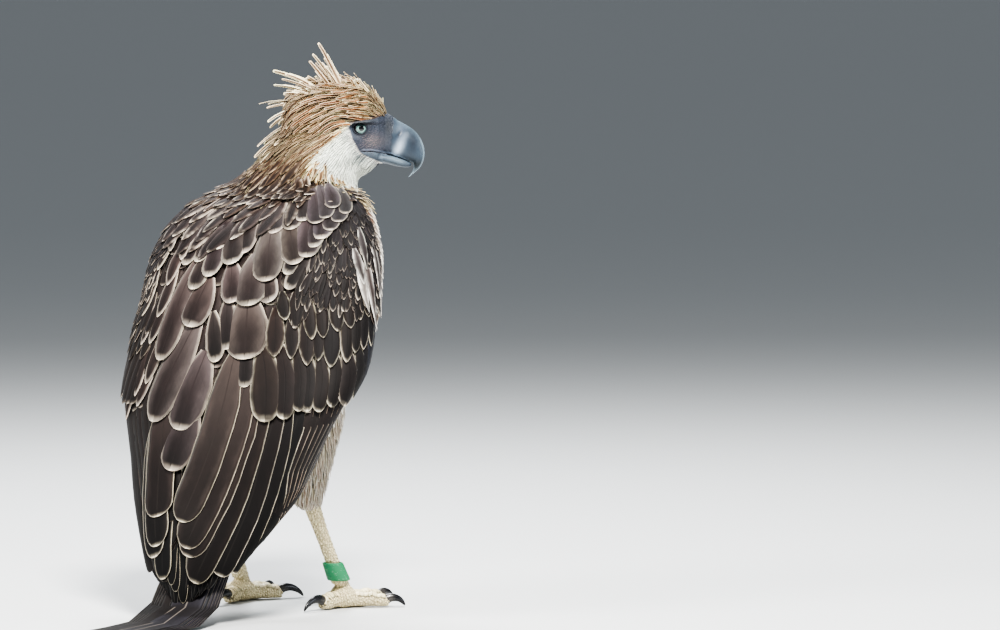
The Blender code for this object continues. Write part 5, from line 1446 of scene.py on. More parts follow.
path_vanes(crest, np.concatenate([paths, P]), np.concatenate([normals, N]), np.concatenate([widths, 0.0046 * rng.uniform(0.7, 1.25, len(P))]), 0.0, 0.0, "strand", 5,
           crest_tint, np.clip(jitter(len(f2), rgb(250, 232, 200), 0.16, 0.03) * (0.95 + 0.10 * f2[:, None]) * (1 - 0.48 * dim), 0, 1), 0.0005 + 0.0006 * f2, 1.0, arch=-0.10, thick=0.0008, wave=0.06)
finish_coat(crest, M_LANCE)

# fine bristles on the lores and round the gape
bristles = Coat("bristles", True)
p, n = scatter(lambda p, n: facing_mask(p) * 0.9, 0.0022, 48)
f, u, s = head_local(p)
away = np.hypot(f - EYE_AT[0], u - EYE_AT[1])
keep = (away > 0.0125) & (f < 0.066)
p, n, f, u = p[keep], n[keep], f[keep], u[keep]
long = rng.uniform(0.0022, 0.0042, len(p)) + 0.004 * np.exp(-((f - 0.034) ** 2 + (u + 0.034) ** 2) / 0.00008)
rim_of_face = 1 - facing_mask(p - RIGHT * 0.0050)
long = long + rim_of_face * (u < -0.004) * rng.uniform(0.002, 0.007, len(p))
P, N = follow(p, n, long, lambda q: np.broadcast_to(-RIGHT - 0.35 * ZED, q.shape), 2)
rose = np.exp(-((f - 0.048) ** 2 + (u + 0.020) ** 2) / 0.00012)[:, None]
tint = jitter(len(p), rgb(84, 84, 94), 0.25) * (1 - rose) + jitter(len(p), rgb(150, 130, 128), 0.2) * rose
path_vanes(bristles, P, N, 0.00055, -0.0001, 0.0006, "small", 3, tint, WHITE, 0.0, 0.0, thick=0.0003)
finish_coat(bristles, M_DOWN)

def bill_rings(stations, ridge, count=72, levels=84, side_power=0.82):
    k = len(stations)
    at = np.linspace(0, k - 1, levels)
    fine = []
    for c in range(5):
        y = stations[:, c]
        i = np.clip(at.astype(int), 0, k - 2)
        t = at - i
        p0, p1, p2, p3 = y[np.maximum(i - 1, 0)], y[i], y[i + 1], y[np.minimum(i + 2, k - 1)]
        fine.append(0.5 * (2 * p1 + (p2 - p0) * t + (2 * p0 - 5 * p1 + 4 * p2 - p3) * t ** 2 + (3 * p1 - p0 - 3 * p2 + p3) * t ** 3))
    fine = np.array(fine).T
    rings = []
    for top_f, top_u, low_f, low_u, half in fine:
        turn = 2 * math.pi * (np.arange(count) + 0.5) / count
        up, side = np.cos(turn), np.sin(turn)
        narrow = 1 - ridge * np.maximum(0, up) ** 1.5 if ridge > 0 else 1 + ridge * np.maximum(0, -up) ** 1.5
        share = np.sign(up) * np.abs(up) ** 0.8
        f = (top_f + low_f) / 2 + (top_f - low_f) / 2 * share
        u = (top_u + low_u) / 2 + (top_u - low_u) / 2 * share
        rings.append(head_point(f, u, max(half, 0.0002) * narrow * np.sign(side) * np.abs(side) ** side_power))
    return np.array(rings)


UPPER = BILL_UPPER.copy()
UPPER[:6, 4] = (0.0158, 0.0170, 0.0156, 0.0138, 0.0123, 0.0111)
LOWER = BILL_LOWER + np.array((0, -0.0004, 0, 0, 0.0))
LOWER[:5, 4] = (0.0150, 0.0165, 0.0150, 0.0118, 0.0088)
UPPER_RINGS, LOWER_RINGS = bill_rings(UPPER, 0.42), bill_rings(LOWER, -0.35, 72, 64)


def root_part(rings, end):
    """The rings of a jaw as far forward as this, for the soft skin over its root."""
    f = np.array([head_local(ring)[0].mean() for ring in rings])
    return rings[:int((f < end).sum())]


# ---------------------------------------------------------------- one skin under all of it
forms = [ring_mesh(trunk_rings(), grow=-0.0065), ring_mesh(neck_rings(), grow=-0.0065), ring_mesh(head_rings(64, 60), grow=-0.0018), ring_mesh(shell_rings(0.262, 0.538, -0.0030, -0.0150), grow=-0.0005)]
root_of_tail = []
for at in np.linspace(-0.02, 0.075, 12):
    y, z, half, thick, ty, tz = tail_spine(np.array([max(at, 0.0)]))
    y, z = y[0] + min(at, 0) * ty[0], z[0] + min(at, 0) * tz[0]
    t = turned(24)
    wide = 0.020 * (1 - 0.4 * at / 0.075)
    root_of_tail.append(np.stack([wide * np.cos(t), y + 0.006 * np.sin(t) * -tz[0] - 0.003, z + 0.006 * np.sin(t) * ty[0]], -1))
forms.append(ring_mesh(root_of_tail))
for side in (-1, 1):
    forms.append(ring_mesh(leg_rings(THIGH_FINE, side, low=0.150), grow=-0.0050))
    forms.append(ring_mesh(leg_rings(SHANK_FINE, side, 40, 40), grow=-0.0006))
    forms.append(ring_mesh(ball_rings((side * FOOT_AT[0], FOOT_AT[1], PAD_Z), PAD_RADIUS), grow=-0.0006))
    for name, degrees, length, root, end, claw in TOES:
        forms.append(ring_mesh(toe_rings(side, degrees, length, root, end), grow=-0.0004))
forms += [ring_mesh(root_part(UPPER_RINGS, 0.0790), grow=0.0010), ring_mesh(root_part(LOWER_RINGS, 0.0660), grow=0.0008)]
skin_mesh = join_remesh(forms, 0.0022, "skin", 2)


def soft(x, y, cx, cy, rx, ry, turn=0.0):
    """1 at the middle of a turned oval, fading to 0 past its rim."""
    dx, dy = x - cx, y - cy
    c, s = math.cos(turn), math.sin(turn)
    return np.exp(-(((dx * c + dy * s) / rx) ** 2 + ((-dx * s + dy * c) / ry) ** 2))


def layer(colour, share, tint):
    return colour * (1 - share[:, None]) + np.array(tint) * share[:, None]


def gape_of(f, u):
    """Height above the gape's line, the share of each point that lies along it, and the share on the lower jaw's side."""
    above = u - np.interp(f, GAPE_F, GAPE_U)
    along = np.clip((f - 0.0335) / 0.004, 0, 1)
    jaw = along * (above < 0) * np.clip((u - np.interp(f, CHIN_F, CHIN_U)) / 0.0010 + 0.5, 0, 1)
    return above, along, jaw


def brow_line(f):
    return 0.0034 + 0.09 * (f - 0.0300)


def face_colour(f, u):
    """The bare skin from the eye to the bill."""
    above, along, jaw = gape_of(f, u)
    colour = np.broadcast_to(np.array(rgb(72, 78, 90)), (len(f), 3)).copy()
    colour = layer(colour, soft(f, u, 0.052, -0.020, 0.015, 0.009) * 0.70, rgb(122, 113, 112))
    colour = layer(colour, soft(f, u, 0.0700, -0.001, 0.0095, 0.018) * 0.90, rgb(32, 37, 45))
    colour = layer(colour, soft(f, u, 0.030, -0.022, 0.008, 0.006) * 0.5, rgb(56, 62, 76))
    colour = layer(colour, np.exp(-(np.hypot(f - EYE_AT[0], (u - EYE_AT[1]) / 0.9) / 0.0122) ** 4) * 0.88, rgb(30, 33, 40))
    colour = layer(colour, soft(f, u, 0.022, -0.010, 0.003, 0.008) * 0.4, rgb(110, 120, 132))
    # a near black band under the brow's shelf, over the eye: painted shadow of the brow
    colour = layer(colour, soft(f, u, 0.044, 0.0018, 0.016, 0.0022, 0.04) * 0.90, rgb(18, 20, 24))
    colour = layer(colour, np.exp(-((u - brow_line(f) - 0.0006) / 0.0013) ** 2) * np.clip((f - 0.018) / 0.008, 0, 1) * np.clip((0.060 - f) / 0.012, 0, 1) * 0.50, rgb(98, 98, 96))
    colour = layer(colour, along * np.exp(-((above - 0.0019) / 0.0012) ** 2) * 0.75, rgb(150, 160, 176))
    colour = layer(colour, jaw, rgb(124, 138, 148))
    colour = layer(colour, jaw * np.clip((-0.0044 - above) / 0.004, 0, 1) * 0.7, rgb(80, 90, 102))
    return colour * np.array((0.66, 0.70, 0.74))


def finer(made, test):
    """Halves the edges between the points that pass the test."""
    co = np.array([vert.co for vert in made.verts])
    chosen = test(co)
    made.verts.ensure_lookup_table()
    edges = [edge for edge in made.edges if chosen[edge.verts[0].index] and chosen[edge.verts[1].index]]
    bmesh.ops.subdivide_edges(made, edges=edges, cuts=1, use_grid_fill=True, smooth=0.0)
    made.verts.index_update()


def face_part(co, edge=0.0):
    f, u, s = head_local(co)
    return (f > 0.008 + edge) & (u > -0.062 + edge) & (u < 0.026 - edge) & (co[:, 2] > 0.55) & (np.abs(s) > 0.004)


def foot_part(co):
    return (co[:, 2] < 0.137) & (np.abs(co[:, 0]) > 0.03) & (co[:, 1] < 0.10)


def horn_edge(u):
    """How far forward the soft skin runs over the upper jaw at each height."""
    return 0.0752 + 0.10 * (u + 0.020) + 0.0008 * np.sin(u * 700)


def seat_on_bill(co):
    """Lays the skin's front part close over the roots of the two jaws, sinking into them at the horn's edge."""
    f, u, s = head_local(co)
    above, along, jaw = gape_of(f, u)
    out = co.copy()
    for rings, mine, edge in ((UPPER_RINGS, above >= 0, horn_edge(u)), (LOWER_RINGS, above < 0, np.full_like(f, 0.0640))):
        mesh = ring_mesh(rings)
        at = points_of(mesh)
        tree = BVHTree.FromPolygons([tuple(point) for point in at], [tuple(face.vertices) for face in mesh.polygons])
        for i in np.nonzero(mine & (f > 0.0500) & (f < edge + 0.009) & (u > -0.062) & (co[:, 2] > 0.55))[0]:
            place, normal, _, _ = tree.find_nearest(Vector(co[i]))
            place, normal = np.array(place), np.array(normal)
            off = float((co[i] - place) @ normal)
            if abs(off) > 0.0100:
                continue
            t = min(max((edge[i] - f[i]) / 0.0030, 0.0), 1.0)
            want = -0.0010 + 0.0016 * t * t * (3 - 2 * t)
            share = min(max((f[i] - 0.0500) / 0.0150, 0.0), 1.0) * min(max((0.0100 - abs(off)) / 0.0060, 0.0), 1.0)
            share = share * share * (3 - 2 * share)
            out[i] = co[i] + normal * (want - off) * share
        bpy.data.meshes.remove(mesh)
    return out


def drop_islands(made, least=3000):
    """Takes out the small closed pieces that lie apart from the skin."""
    made.verts.ensure_lookup_table()
    made.verts.index_update()
    free = np.ones(len(made.verts), bool)
    spare = []
    for start in range(len(made.verts)):
        if not free[start]:
            continue
        free[start] = False
        piece, edge = [start], [start]
        while edge:
            more = []
            for i in edge:
                for link in made.verts[i].link_edges:
                    j = link.other_vert(made.verts[i]).index
                    if free[j]:
                        free[j] = False
                        more.append(j)
            piece += more
            edge = more
        if len(piece) < least:
            spare += piece
    print("skin pieces apart", len(spare))
    bmesh.ops.delete(made, geom=[made.verts[i] for i in spare], context="VERTS")
    made.verts.ensure_lookup_table()


def even_lores(made):
    """Evens out how far the face's two sides stand out between the eye and the bill."""
    co = np.array([vert.co for vert in made.verts])
    f, u, s = head_local(co)
    above = gape_of(f, u)[0]
    weight = np.clip((f - 0.0480) / 0.0090, 0, 1) * np.clip((horn_edge(u) - 0.0022 - f) / 0.0008, 0, 1) * np.clip((above - 0.0030) / 0.0020, 0, 1)
    weight *= np.clip((0.024 - u) / 0.004, 0, 1) * np.clip((np.abs(s) - 0.0045) / 0.0035, 0, 1) * (co[:, 2] > 0.55)
    near = np.zeros(len(co), bool)
    near[weight > 0] = True
    ends = np.array([(edge.verts[0].index, edge.verts[1].index) for edge in made.edges])
    ends = ends[near[ends[:, 0]] | near[ends[:, 1]]]
    count = np.bincount(ends.ravel(), minlength=len(co))
    chosen = np.nonzero(near)[0]
    out = s.copy()
    for k in range(500):
        total = np.bincount(ends[:, 0], out[ends[:, 1]], len(co)) + np.bincount(ends[:, 1], out[ends[:, 0]], len(co))
        out[chosen] += weight[chosen] * (total[chosen] / count[chosen] - out[chosen]) * 0.9
    for i in chosen:
        made.verts[i].co = co[i] + SIDE * (out[i] - s[i])


def refine_skin(mesh):
    """Finer faces on the face and the feet, and the eye's opening, the brow, the gape and the lores shaped."""
    made = bmesh.new()
    made.from_mesh(mesh)
    drop_islands(made)
    made.verts.index_update()
    finer(made, lambda co: face_part(co) | foot_part(co))
    co = np.array([vert.co for vert in made.verts])
    chosen = face_part(co) | (foot_part(co) & (co[:, 2] > 0.004))
    near = [vert for vert, on in zip(made.verts, chosen) if on]
    for k in range(3):
        bmesh.ops.smooth_vert(made, verts=near, factor=0.5, use_axis_x=True, use_axis_y=True, use_axis_z=True)
    finer(made, lambda co: face_part(co, 0.004))
    co = np.array([vert.co for vert in made.verts])
    near = [vert for vert, on in zip(made.verts, face_part(co, 0.002)) if on]
    for k in range(2):
        bmesh.ops.smooth_vert(made, verts=near, factor=0.5, use_axis_x=True, use_axis_y=True, use_axis_z=True)
    co = np.array([vert.co for vert in made.verts])
    co = co + shape_face(co)
    co = seat_on_bill(co)
    for vert, at in zip(made.verts, co):
        vert.co = at
    f, u, s = head_local(co)
    above = gape_of(f, u)[0]
    crease = [vert for vert, on in zip(made.verts, (f > 0.0535) & (f < horn_edge(u) - 0.0022) & (above > 0.0030) & (u < 0.024) & (co[:, 2] > 0.55)) if on]
    for k in range(10):
        bmesh.ops.smooth_vert(made, verts=crease, factor=0.5, use_axis_x=True, use_axis_y=True, use_axis_z=True)
    made.verts.ensure_lookup_table()
    made.verts.index_update()
    even_lores(made)
    bmesh.ops.triangulate(made, faces=[face for face in made.faces if len(face.verts) > 4])
    made.normal_update()
    made.to_mesh(mesh)
    made.free()


def shape_face(co):
    """How far each point of the face moves sideways for the eye's opening, the brow over it, the lips and the hollow before the eye."""
    f, u, s = head_local(co)
    move = np.zeros_like(co)
    above, along, jaw = gape_of(f, u)
    for sign in (1, -1):
        side = s * sign
        df, du = f - EYE_AT[0], u - EYE_AT[1]
        open_at = np.hypot(df, du / 0.86)
        here = (side > 0.010) & (co[:, 2] > 0.575) & (f > 0.0)
        flat = np.hypot(df, du)
        ball = EYE_AT[2] + np.sqrt(np.maximum(EYE_RADIUS ** 2 - np.minimum(flat, EYE_RADIUS * 0.98) ** 2, 0))
        rim = EYE_AT[2] + math.sqrt(EYE_RADIUS ** 2 - 0.0080 ** 2) + 0.0010 + 0.0009 * np.clip(du / 0.006, 0, 1)
        want = side.copy()
        inside = open_at < 0.0077
        want = np.where(inside, ball - 0.0016, want)
        lip = rim + 0.0007 * np.sin(np.clip((open_at - 0.0077) / 0.0022, 0, 1) * math.pi)
        blend = np.clip((open_at - 0.0090) / 0.0090, 0, 1)
        blend = blend * blend * (3 - 2 * blend)
        around = ~inside & (open_at < 0.0180)
        fold = 0.00045 * np.cos((open_at - 0.0090) / 0.0019 * 2 * math.pi) * np.exp(-((open_at - 0.0098) / 0.0030) ** 2)
        want = np.where(around, lip * (1 - blend) + side * blend + fold, want)
        # the brow, a bony shelf from before the eye to behind it
        shelf = np.exp(-((u - brow_line(f)) / 0.0023) ** 2) * np.clip((f - 0.016) / 0.010, 0, 1) * np.clip((0.062 - f) / 0.016, 0, 1)
        want = want + 0.0050 * shelf * (open_at > 0.0077)
        want = want - 0.0018 * soft(f, u, 0.054, -0.010, 0.009, 0.010)
        # the lips
        want = want + along * (0.0010 * np.exp(-((above - 0.0019) / 0.0012) ** 2) - 0.0014 * np.exp(-(above / 0.0006) ** 2)) + jaw * 0.0012 * np.exp(-((above + 0.0034) / 0.0028) ** 2)
        move += np.where(here, (want - side), 0)[:, None] * SIDE * sign
    return move


refine_skin(skin_mesh)


def field(p):
    """The coat's own colour at each place, which the skin under it carries too; over the neck's top and the head it is
    darker, painted shade for the gaps between the strands.
    """
    white = whiteness(p)[:, None]
    z = p[:, 2:3]
    # dark brown over the neck's top and the head: painted shade between the strands that lie over it
    back = np.array(rgb(70, 58, 54)) * (1 - np.clip((z - 0.53) / 0.03, 0, 1)) + np.array(rgb(58, 42, 32)) * np.clip((z - 0.53) / 0.03, 0, 1)
    colour = back * (1 - white) + np.array(WHITE) * 0.86 * white
    wing = on_wing(p)[:, None]
    colour = np.where(wing & (z < 0.53), np.array(rgb(60, 50, 47)), colour)
    mask = facing_mask(p)[:, None]
    f, u, s = head_local(p)
    colour = colour * (1 - mask) + face_colour(f, u) * mask
    foot = ((z < 0.152) & (np.abs(p[:, 0:1]) > 0.028) & (p[:, 1:2] < 0.10)).astype(float)
    foot *= np.clip((0.152 - z) / 0.008, 0, 1)
    colour = colour * (1 - foot) + np.array(rgb(206, 194, 158)) * foot
    return colour, np.clip(mask[:, 0] * 0.5 + foot[:, 0], 0, 1)


co, no = arrays(skin_mesh)
tone, kind = field(co)
attribute = skin_mesh.attributes.new("field", "FLOAT_COLOR", "POINT")
attribute.data.foreach_set("color", np.column_stack([tone, kind]).astype(np.float32).ravel())
f, u, s = head_local(co)
above, along, jaw = gape_of(f, u)
attribute = skin_mesh.attributes.new("gape", "FLOAT_VECTOR", "POINT")
attribute.data.foreach_set("vector", np.column_stack([above * 1000, along * (kind > 0.1) * (kind < 0.7), jaw]).astype(np.float32).ravel())
co[:, 2] = np.maximum(co[:, 2], 0.0002)
skin_mesh.vertices.foreach_set("co", (co + SHIFT).astype(np.float32).ravel())
skin_mesh.update()
skin = bpy.data.objects.new("skin", skin_mesh)
bpy.context.scene.collection.objects.link(skin)
thin = skin.modifiers.new("fewer", "DECIMATE")
group = skin.vertex_groups.new(name="covered")
covered = np.where((kind < 0.2) & (co[:, 2] < 0.60))[0]
group.add([int(i) for i in covered], 1.0, "REPLACE")
thin.vertex_group = "covered"
thin.use_collapse_triangulate = True
hidden = np.zeros(len(co), bool)
hidden[covered] = True
under = sum(1 for face in skin_mesh.polygons if all(hidden[i] for i in face.vertices))
thin.ratio = 1 - 0.55 * under / len(skin_mesh.polygons)
print("skin faces", len(skin_mesh.polygons))

n = Nodes("bare_skin")
where = n.place()
base, kind_of = n.attribute("field", 0), n.attribute("field", 3)
foot_share = n.ramp(kind_of, 0.62, 0.9)
grain = n.noise(where, 750.0, 4.0, 0.6)
patchy = n.noise(where, 95.0, 3.0, 0.6)
pebble = n.node("ShaderNodeTexVoronoi", 0, {"feature": "DISTANCE_TO_EDGE"}, Vector=where, Scale=820.0)
plates = n.node("ShaderNodeTexVoronoi", 0, {"feature": "DISTANCE_TO_EDGE"}, Vector=where, Scale=360.0)
furrow = n.noise(n.node("ShaderNodeMapping", 0, None, Vector=where, Scale=(1.0, 1.0, 2.6)), 260.0, 3.0, 0.55)
shade = n.math("ADD", 0.62, n.math("ADD", n.math("MULTIPLY", grain, 0.40), n.math("MULTIPLY", patchy, 0.42)))
tone_node = n.mix(1.0, base, n.node("ShaderNodeCombineColor", 0, None, i0=shade, i1=shade, i2=shade), "MULTIPLY")
crease = n.math("MULTIPLY", n.ramp(plates, 0.10, 0.0), foot_share)
tone_node = n.mix(n.math("MULTIPLY", crease, 0.75), tone_node, rgb(120, 100, 70))
gape = n.node("ShaderNodeSeparateXYZ", 0, None, Vector=n.attribute("gape", 1)).node
# the gape's line: near black where the jaws meet, painted shade in the groove between them
slit_line = n.math("MULTIPLY", n.ramp(n.math("ABSOLUTE", gape.outputs[0]), 0.85, 0.30), gape.outputs[1])
tone_node = n.mix(n.math("MULTIPLY", slit_line, 0.93), tone_node, (0.008, 0.008, 0.010))
height = n.math("ADD", n.math("MULTIPLY", n.ramp(pebble, 0.0, 0.35), 0.5), n.math("MULTIPLY", furrow, 0.9))
height = n.math("ADD", n.math("MULTIPLY", height, n.math("SUBTRACT", 1.0, foot_share)), n.math("MULTIPLY", n.ramp(plates, 0.0, 0.22), n.math("MULTIPLY", foot_share, 1.6)))
M_SKIN = n.finish(tone_node, 0.52, n.bump(height, 0.55, 0.0007))
skin_mesh.materials.append(M_SKIN)
skin_mesh.polygons.foreach_set("use_smooth", np.ones(len(skin_mesh.polygons), bool))
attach(skin, "root")
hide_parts("head", "crest", "neck", "trunk", "wing_left", "wing_right", "tail", "thigh_left", "thigh_right", "shank_left", "shank_right", "foot_left", "foot_right")


def solid_piece(name, mesh, material, node):
    """One closed piece that stands for a solid of the frame."""
    mesh.name = name
    mesh.materials.append(material)
    mesh.polygons.foreach_set("use_smooth", np.ones(len(mesh.polygons), bool))
    mesh.transform(Matrix.Translation(Vector(SHIFT)))
    mesh.update()
    obj = bpy.data.objects.new(name, mesh)
    bpy.context.scene.collection.objects.link(obj)
    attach(obj, "root")
    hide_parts(node)
    return obj


def paint(mesh, name, values):
    """A colour or a vector for each point."""
    values = np.asarray(values, np.float32)
    wide = values.shape[1] == 4
    attribute = mesh.attributes.new(name, "FLOAT_COLOR" if wide else "FLOAT_VECTOR", "POINT")
    attribute.data.foreach_set("color" if wide else "vector", values.ravel())


# ---------------------------------------------------------------- eyes
n = Nodes("eye_ball")
iris = n.node("ShaderNodeSeparateXYZ", 0, None, Vector=n.attribute("iris", 1)).node
radius, ca, sa = iris.outputs
streaks = n.noise(n.vector(n.math("MULTIPLY", ca, 9.0), n.math("MULTIPLY", sa, 9.0), n.math("MULTIPLY", radius, 0.35)), 1.6, 3.0, 0.65)
cloud = n.noise(n.vector(n.math("MULTIPLY", ca, 1.5), n.math("MULTIPLY", sa, 1.5), radius), 1.2, 2.0, 0.5)
colour = n.mix(n.ramp(streaks, 0.32, 0.68), rgb(78, 112, 108), rgb(146, 182, 172))
colour = n.mix(n.math("MULTIPLY", n.ramp(cloud, 0.4, 0.7), 0.35), colour, rgb(116, 152, 148))
# the brow's shade on the upper part
shade = n.math("MULTIPLY", n.ramp(n.math("MULTIPLY", radius, sa), 0.6, 4.6), 0.86)
colour = n.mix(shade, colour, rgb(30, 44, 46))
colour = n.mix(n.ramp(radius, 6.1, 7.0), colour, rgb(44, 58, 62))
colour = n.mix(n.ramp(radius, 7.0, 7.5), colour, rgb(18, 17, 19))
colour = n.mix(n.ramp(radius, 3.75, 3.45), colour, (0.002, 0.002, 0.003))
M_EYE = n.finish(colour, 0.12)
n.shader.inputs["Coat Weight"].default_value = 1.0
n.shader.inputs["Coat Roughness"].default_value = 0.03
for side, word in ((1, "right"), (-1, "left")):
    centre = head_point(EYE_AT[0], EYE_AT[1], side * EYE_AT[2])
    axis = SIDE * side + 0.22 * RIGHT
    axis /= np.linalg.norm(axis)
    a = np.cross(ZED, axis)
    a /= np.linalg.norm(a)
    b = np.cross(axis, a)
    t = turned(64)
    rings = []
    for theta in np.concatenate([np.linspace(0.015, 0.75, 26), np.linspace(0.80, math.pi - 0.05, 22)]):
        r = EYE_RADIUS + 0.0005 * max(0.0, 1 - (theta / 0.60) ** 2) ** 2
        rings.append(centre + r * (math.cos(theta) * axis + math.sin(theta) * (np.cos(t)[:, None] * a + np.sin(t)[:, None] * b)))
    mesh = ring_mesh(rings)
    d = points_of(mesh) - centre
    along = d @ axis
    x, y = d @ a, d @ b
    flat = np.hypot(x, y)
    paint(mesh, "iris", np.column_stack([np.where(along > 0, flat, 0.012) * 1000, x / (flat + 1e-6), y / (flat + 1e-6)]))
    solid_piece("eye_ball_" + word, mesh, M_EYE, "eye_" + word)


# ---------------------------------------------------------------- bill
n = Nodes("horn")
where = n.place()
base = n.attribute("field", 0)
fine = n.noise(n.node("ShaderNodeMapping", 0, None, Vector=where, Scale=(1.0, 1.0, 0.35)), 420.0, 4.0, 0.6)
broad = n.noise(where, 70.0, 3.0, 0.55)
flecks = n.noise(where, 1400.0, 2.0, 0.5)
tone = n.math("ADD", 0.50, n.math("ADD", n.math("MULTIPLY", fine, 0.40), n.math("MULTIPLY", broad, 0.58)))
colour = n.mix(1.0, base, n.node("ShaderNodeCombineColor", 0, None, i0=tone, i1=tone, i2=tone), "MULTIPLY")
height = n.math("ADD", n.math("MULTIPLY", fine, 0.7), n.math("MULTIPLY", flecks, 0.25))
# the other channel of the colours is 1 on horn and 0 on the soft skin at the bill's root
horny = n.attribute("field", 3)
shine = n.math("ADD", 0.30, n.math("MULTIPLY", broad, 0.22))
M_HORN = n.finish(colour, n.math("ADD", 0.54, n.math("MULTIPLY", n.math("SUBTRACT", shine, 0.54), horny)), n.bump(height, 0.22, 0.0005))

mesh = ring_mesh(UPPER_RINGS)
co = points_of(mesh)
f, u, s = head_local(co)
# the part under the soft skin is drawn in, so that the skin covers it
under = np.clip((horn_edge(u) - 0.0024 - f) / 0.0026, 0, 1)
under = under * under * (3 - 2 * under)
gape_at = np.interp(f, GAPE_F, GAPE_U)
under *= np.clip((u - gape_at - 0.0015) / 0.0030, 0, 1)
co = co - SIDE * (under * 0.0024 * np.sign(s) * np.clip(np.abs(s) / 0.006, 0, 1))[:, None] - ZED * (under * 0.0022 * np.clip((u + 0.004) / 0.010, 0, 1))[:, None]
# a slit of a nostril in each side, with a low swelling round it
slit = soft(f, u, 0.0835, -0.0120, 0.0040, 0.0010, 0.95) * (np.abs(s) > 0.004)
swell = soft(f, u, 0.0828, -0.0125, 0.0075, 0.0050, 0.95)
move = SIDE * (np.sign(s) * (0.0006 * swell - 0.0013 * slit))[:, None]
mesh.vertices.foreach_set("co", (co + move).astype(np.float32).ravel())
colour = np.broadcast_to(np.array(rgb(58, 70, 82)), co.shape).copy()
ridge_share = np.clip(1 - np.abs(s) / 0.0075, 0, 1)
# a pale band leans across each side, with darker horn behind and before it, a faint pale patch at its top and a dark
# patch before it: partly the horn's own colours, partly painted highlight and reflection
line = (f - 0.0845) - 0.46 * (u + 0.0260)
colour = layer(colour, np.exp(-((line + 0.0062) / 0.0036) ** 2) * np.clip((u + 0.030) / 0.008, 0, 1) * 0.45, rgb(48, 60, 80))
colour = layer(colour, np.exp(-(line / 0.0056) ** 2) * np.clip((u + 0.044) / 0.006, 0, 1) * np.clip((-0.008 - u) / 0.022, 0, 1) * 0.92, rgb(186, 200, 216))
colour = layer(colour, soft(f, u, 0.0850, -0.0020, 0.0070, 0.0060) * 0.35, rgb(120, 134, 150))
colour = layer(colour, soft(f, u, 0.1015, -0.0230, 0.0072, 0.0160, -0.14) * 0.92, rgb(38, 46, 56))
# paler along the ridge towards the hook: painted highlight
colour = layer(colour, ridge_share * np.clip((f - 0.072) / 0.01, 0, 1) * 0.60, rgb(110, 126, 136))
colour = layer(colour, np.exp(-((u - np.interp(f, GAPE_F, GAPE_U) - 0.0022) / 0.0014) ** 2) * (f < 0.100) * 0.6, rgb(150, 164, 180))
colour = layer(colour, np.clip((-0.040 - u) / 0.010, 0, 1) * 0.92, rgb(28, 36, 41))
# paler down the middle of the hook's front: painted highlight
colour = layer(colour, np.clip(1 - np.abs(s) / 0.0050, 0, 1) ** 0.7 * np.clip((-0.014 - u) / 0.010, 0, 1) * (f > 0.094) * 0.85, rgb(150, 168, 180))
face = face_colour(f, u)
face_share = 1 / (1 + np.exp((f - horn_edge(u) + 0.0012) / 0.0006))
colour = colour * (1 - face_share[:, None]) + face * 0.85 * face_share[:, None]
# near black in the nostril's slit: painted shade of its opening
colour = layer(colour, slit, (0.006, 0.006, 0.008))
paint(mesh, "field", np.column_stack([colour, 1 - face_share]))
solid_piece("upper_bill", mesh, M_HORN, "bill_upper")

mesh = ring_mesh(LOWER_RINGS)
co = points_of(mesh)
f, u, s = head_local(co)
top = np.interp(f, BILL_LOWER[:, 0], BILL_LOWER[:, 1])
low = np.interp(f, BILL_LOWER[:, 2], BILL_LOWER[:, 3])
share = np.clip((top - u) / (top - low + 1e-6), 0, 1)
colour = np.broadcast_to(np.array(rgb(104, 118, 128)), co.shape).copy()
colour = layer(colour, np.clip((share - 0.36) / 0.40, 0, 1) * 0.9, rgb(70, 82, 94))
colour = layer(colour, np.clip((f - 0.084) / 0.010, 0, 1) * 0.8, rgb(58, 68, 80))
# near black along the lower jaw's top edge: painted shade in the gap under the upper jaw
colour = layer(colour, np.clip((0.09 - share) / 0.08, 0, 1), (0.010, 0.010, 0.013))
colour = layer(colour, np.clip((0.076 - f) / 0.010, 0, 1) * 0.8, rgb(74, 86, 98))
paint(mesh, "field", np.column_stack([colour, np.ones(len(co))]))
solid_piece("lower_bill", mesh, M_HORN, "bill_lower")

# ---------------------------------------------------------------- claws
n = Nodes("claw_horn")
where = n.place()
fine = n.noise(where, 600.0, 4.0, 0.6)
broad = n.noise(where, 120.0, 2.0, 0.5)
base = n.attribute("field", 0)
tone = n.math("ADD", 0.6, n.math("MULTIPLY", broad, 0.8))
M_CLAW = n.finish(n.mix(1.0, base, n.node("ShaderNodeCombineColor", 0, None, i0=tone, i1=tone, i2=tone), "MULTIPLY"), n.math("ADD", 0.16, n.math("MULTIPLY", fine, 0.20)), n.bump(fine, 0.18, 0.0004))


def claw_rings(tip, ahead, end, length, count=24, steps=40):
    across = np.array([-ahead[1], ahead[0], 0])
    lift = end * 1.05
    arc = length / math.radians(98)
    share = np.linspace(0, 1, steps)
    turn = math.radians(34) - share * length / arc
    forward = np.concatenate([[0], np.cumsum(np.cos((turn[1:] + turn[:-1]) / 2) * length / (steps - 1))]) - 0.005
    z = lift + np.concatenate([[0], np.cumsum(np.sin((turn[1:] + turn[:-1]) / 2) * length / (steps - 1))])
    squash = (lift - 0.0016) / max(lift - z.min(), 1e-6)
    z = np.where(z < lift, lift + (z - lift) * squash, z)
    radius = 0.0062 * (1 - share) ** 0.62 + 0.0005
    rings = []
    for k in range(steps):
        normal = ZED * math.cos(turn[k]) - ahead * math.sin(turn[k])
        t = turned(count)
        # narrower above than below, with a soft groove either side of the under edge
        wide = 0.86 * (1 - 0.12 * np.maximum(0, np.sin(t)))
        ring = tip + ahead * forward[k] + ZED * z[k] + across * (np.cos(t) * radius[k] * wide)[:, None] + normal * (np.sin(t) * radius[k])[:, None]
        ring[:, 2] = np.maximum(ring[:, 2], 0.0004)
        rings.append(ring)
    return np.array(rings)


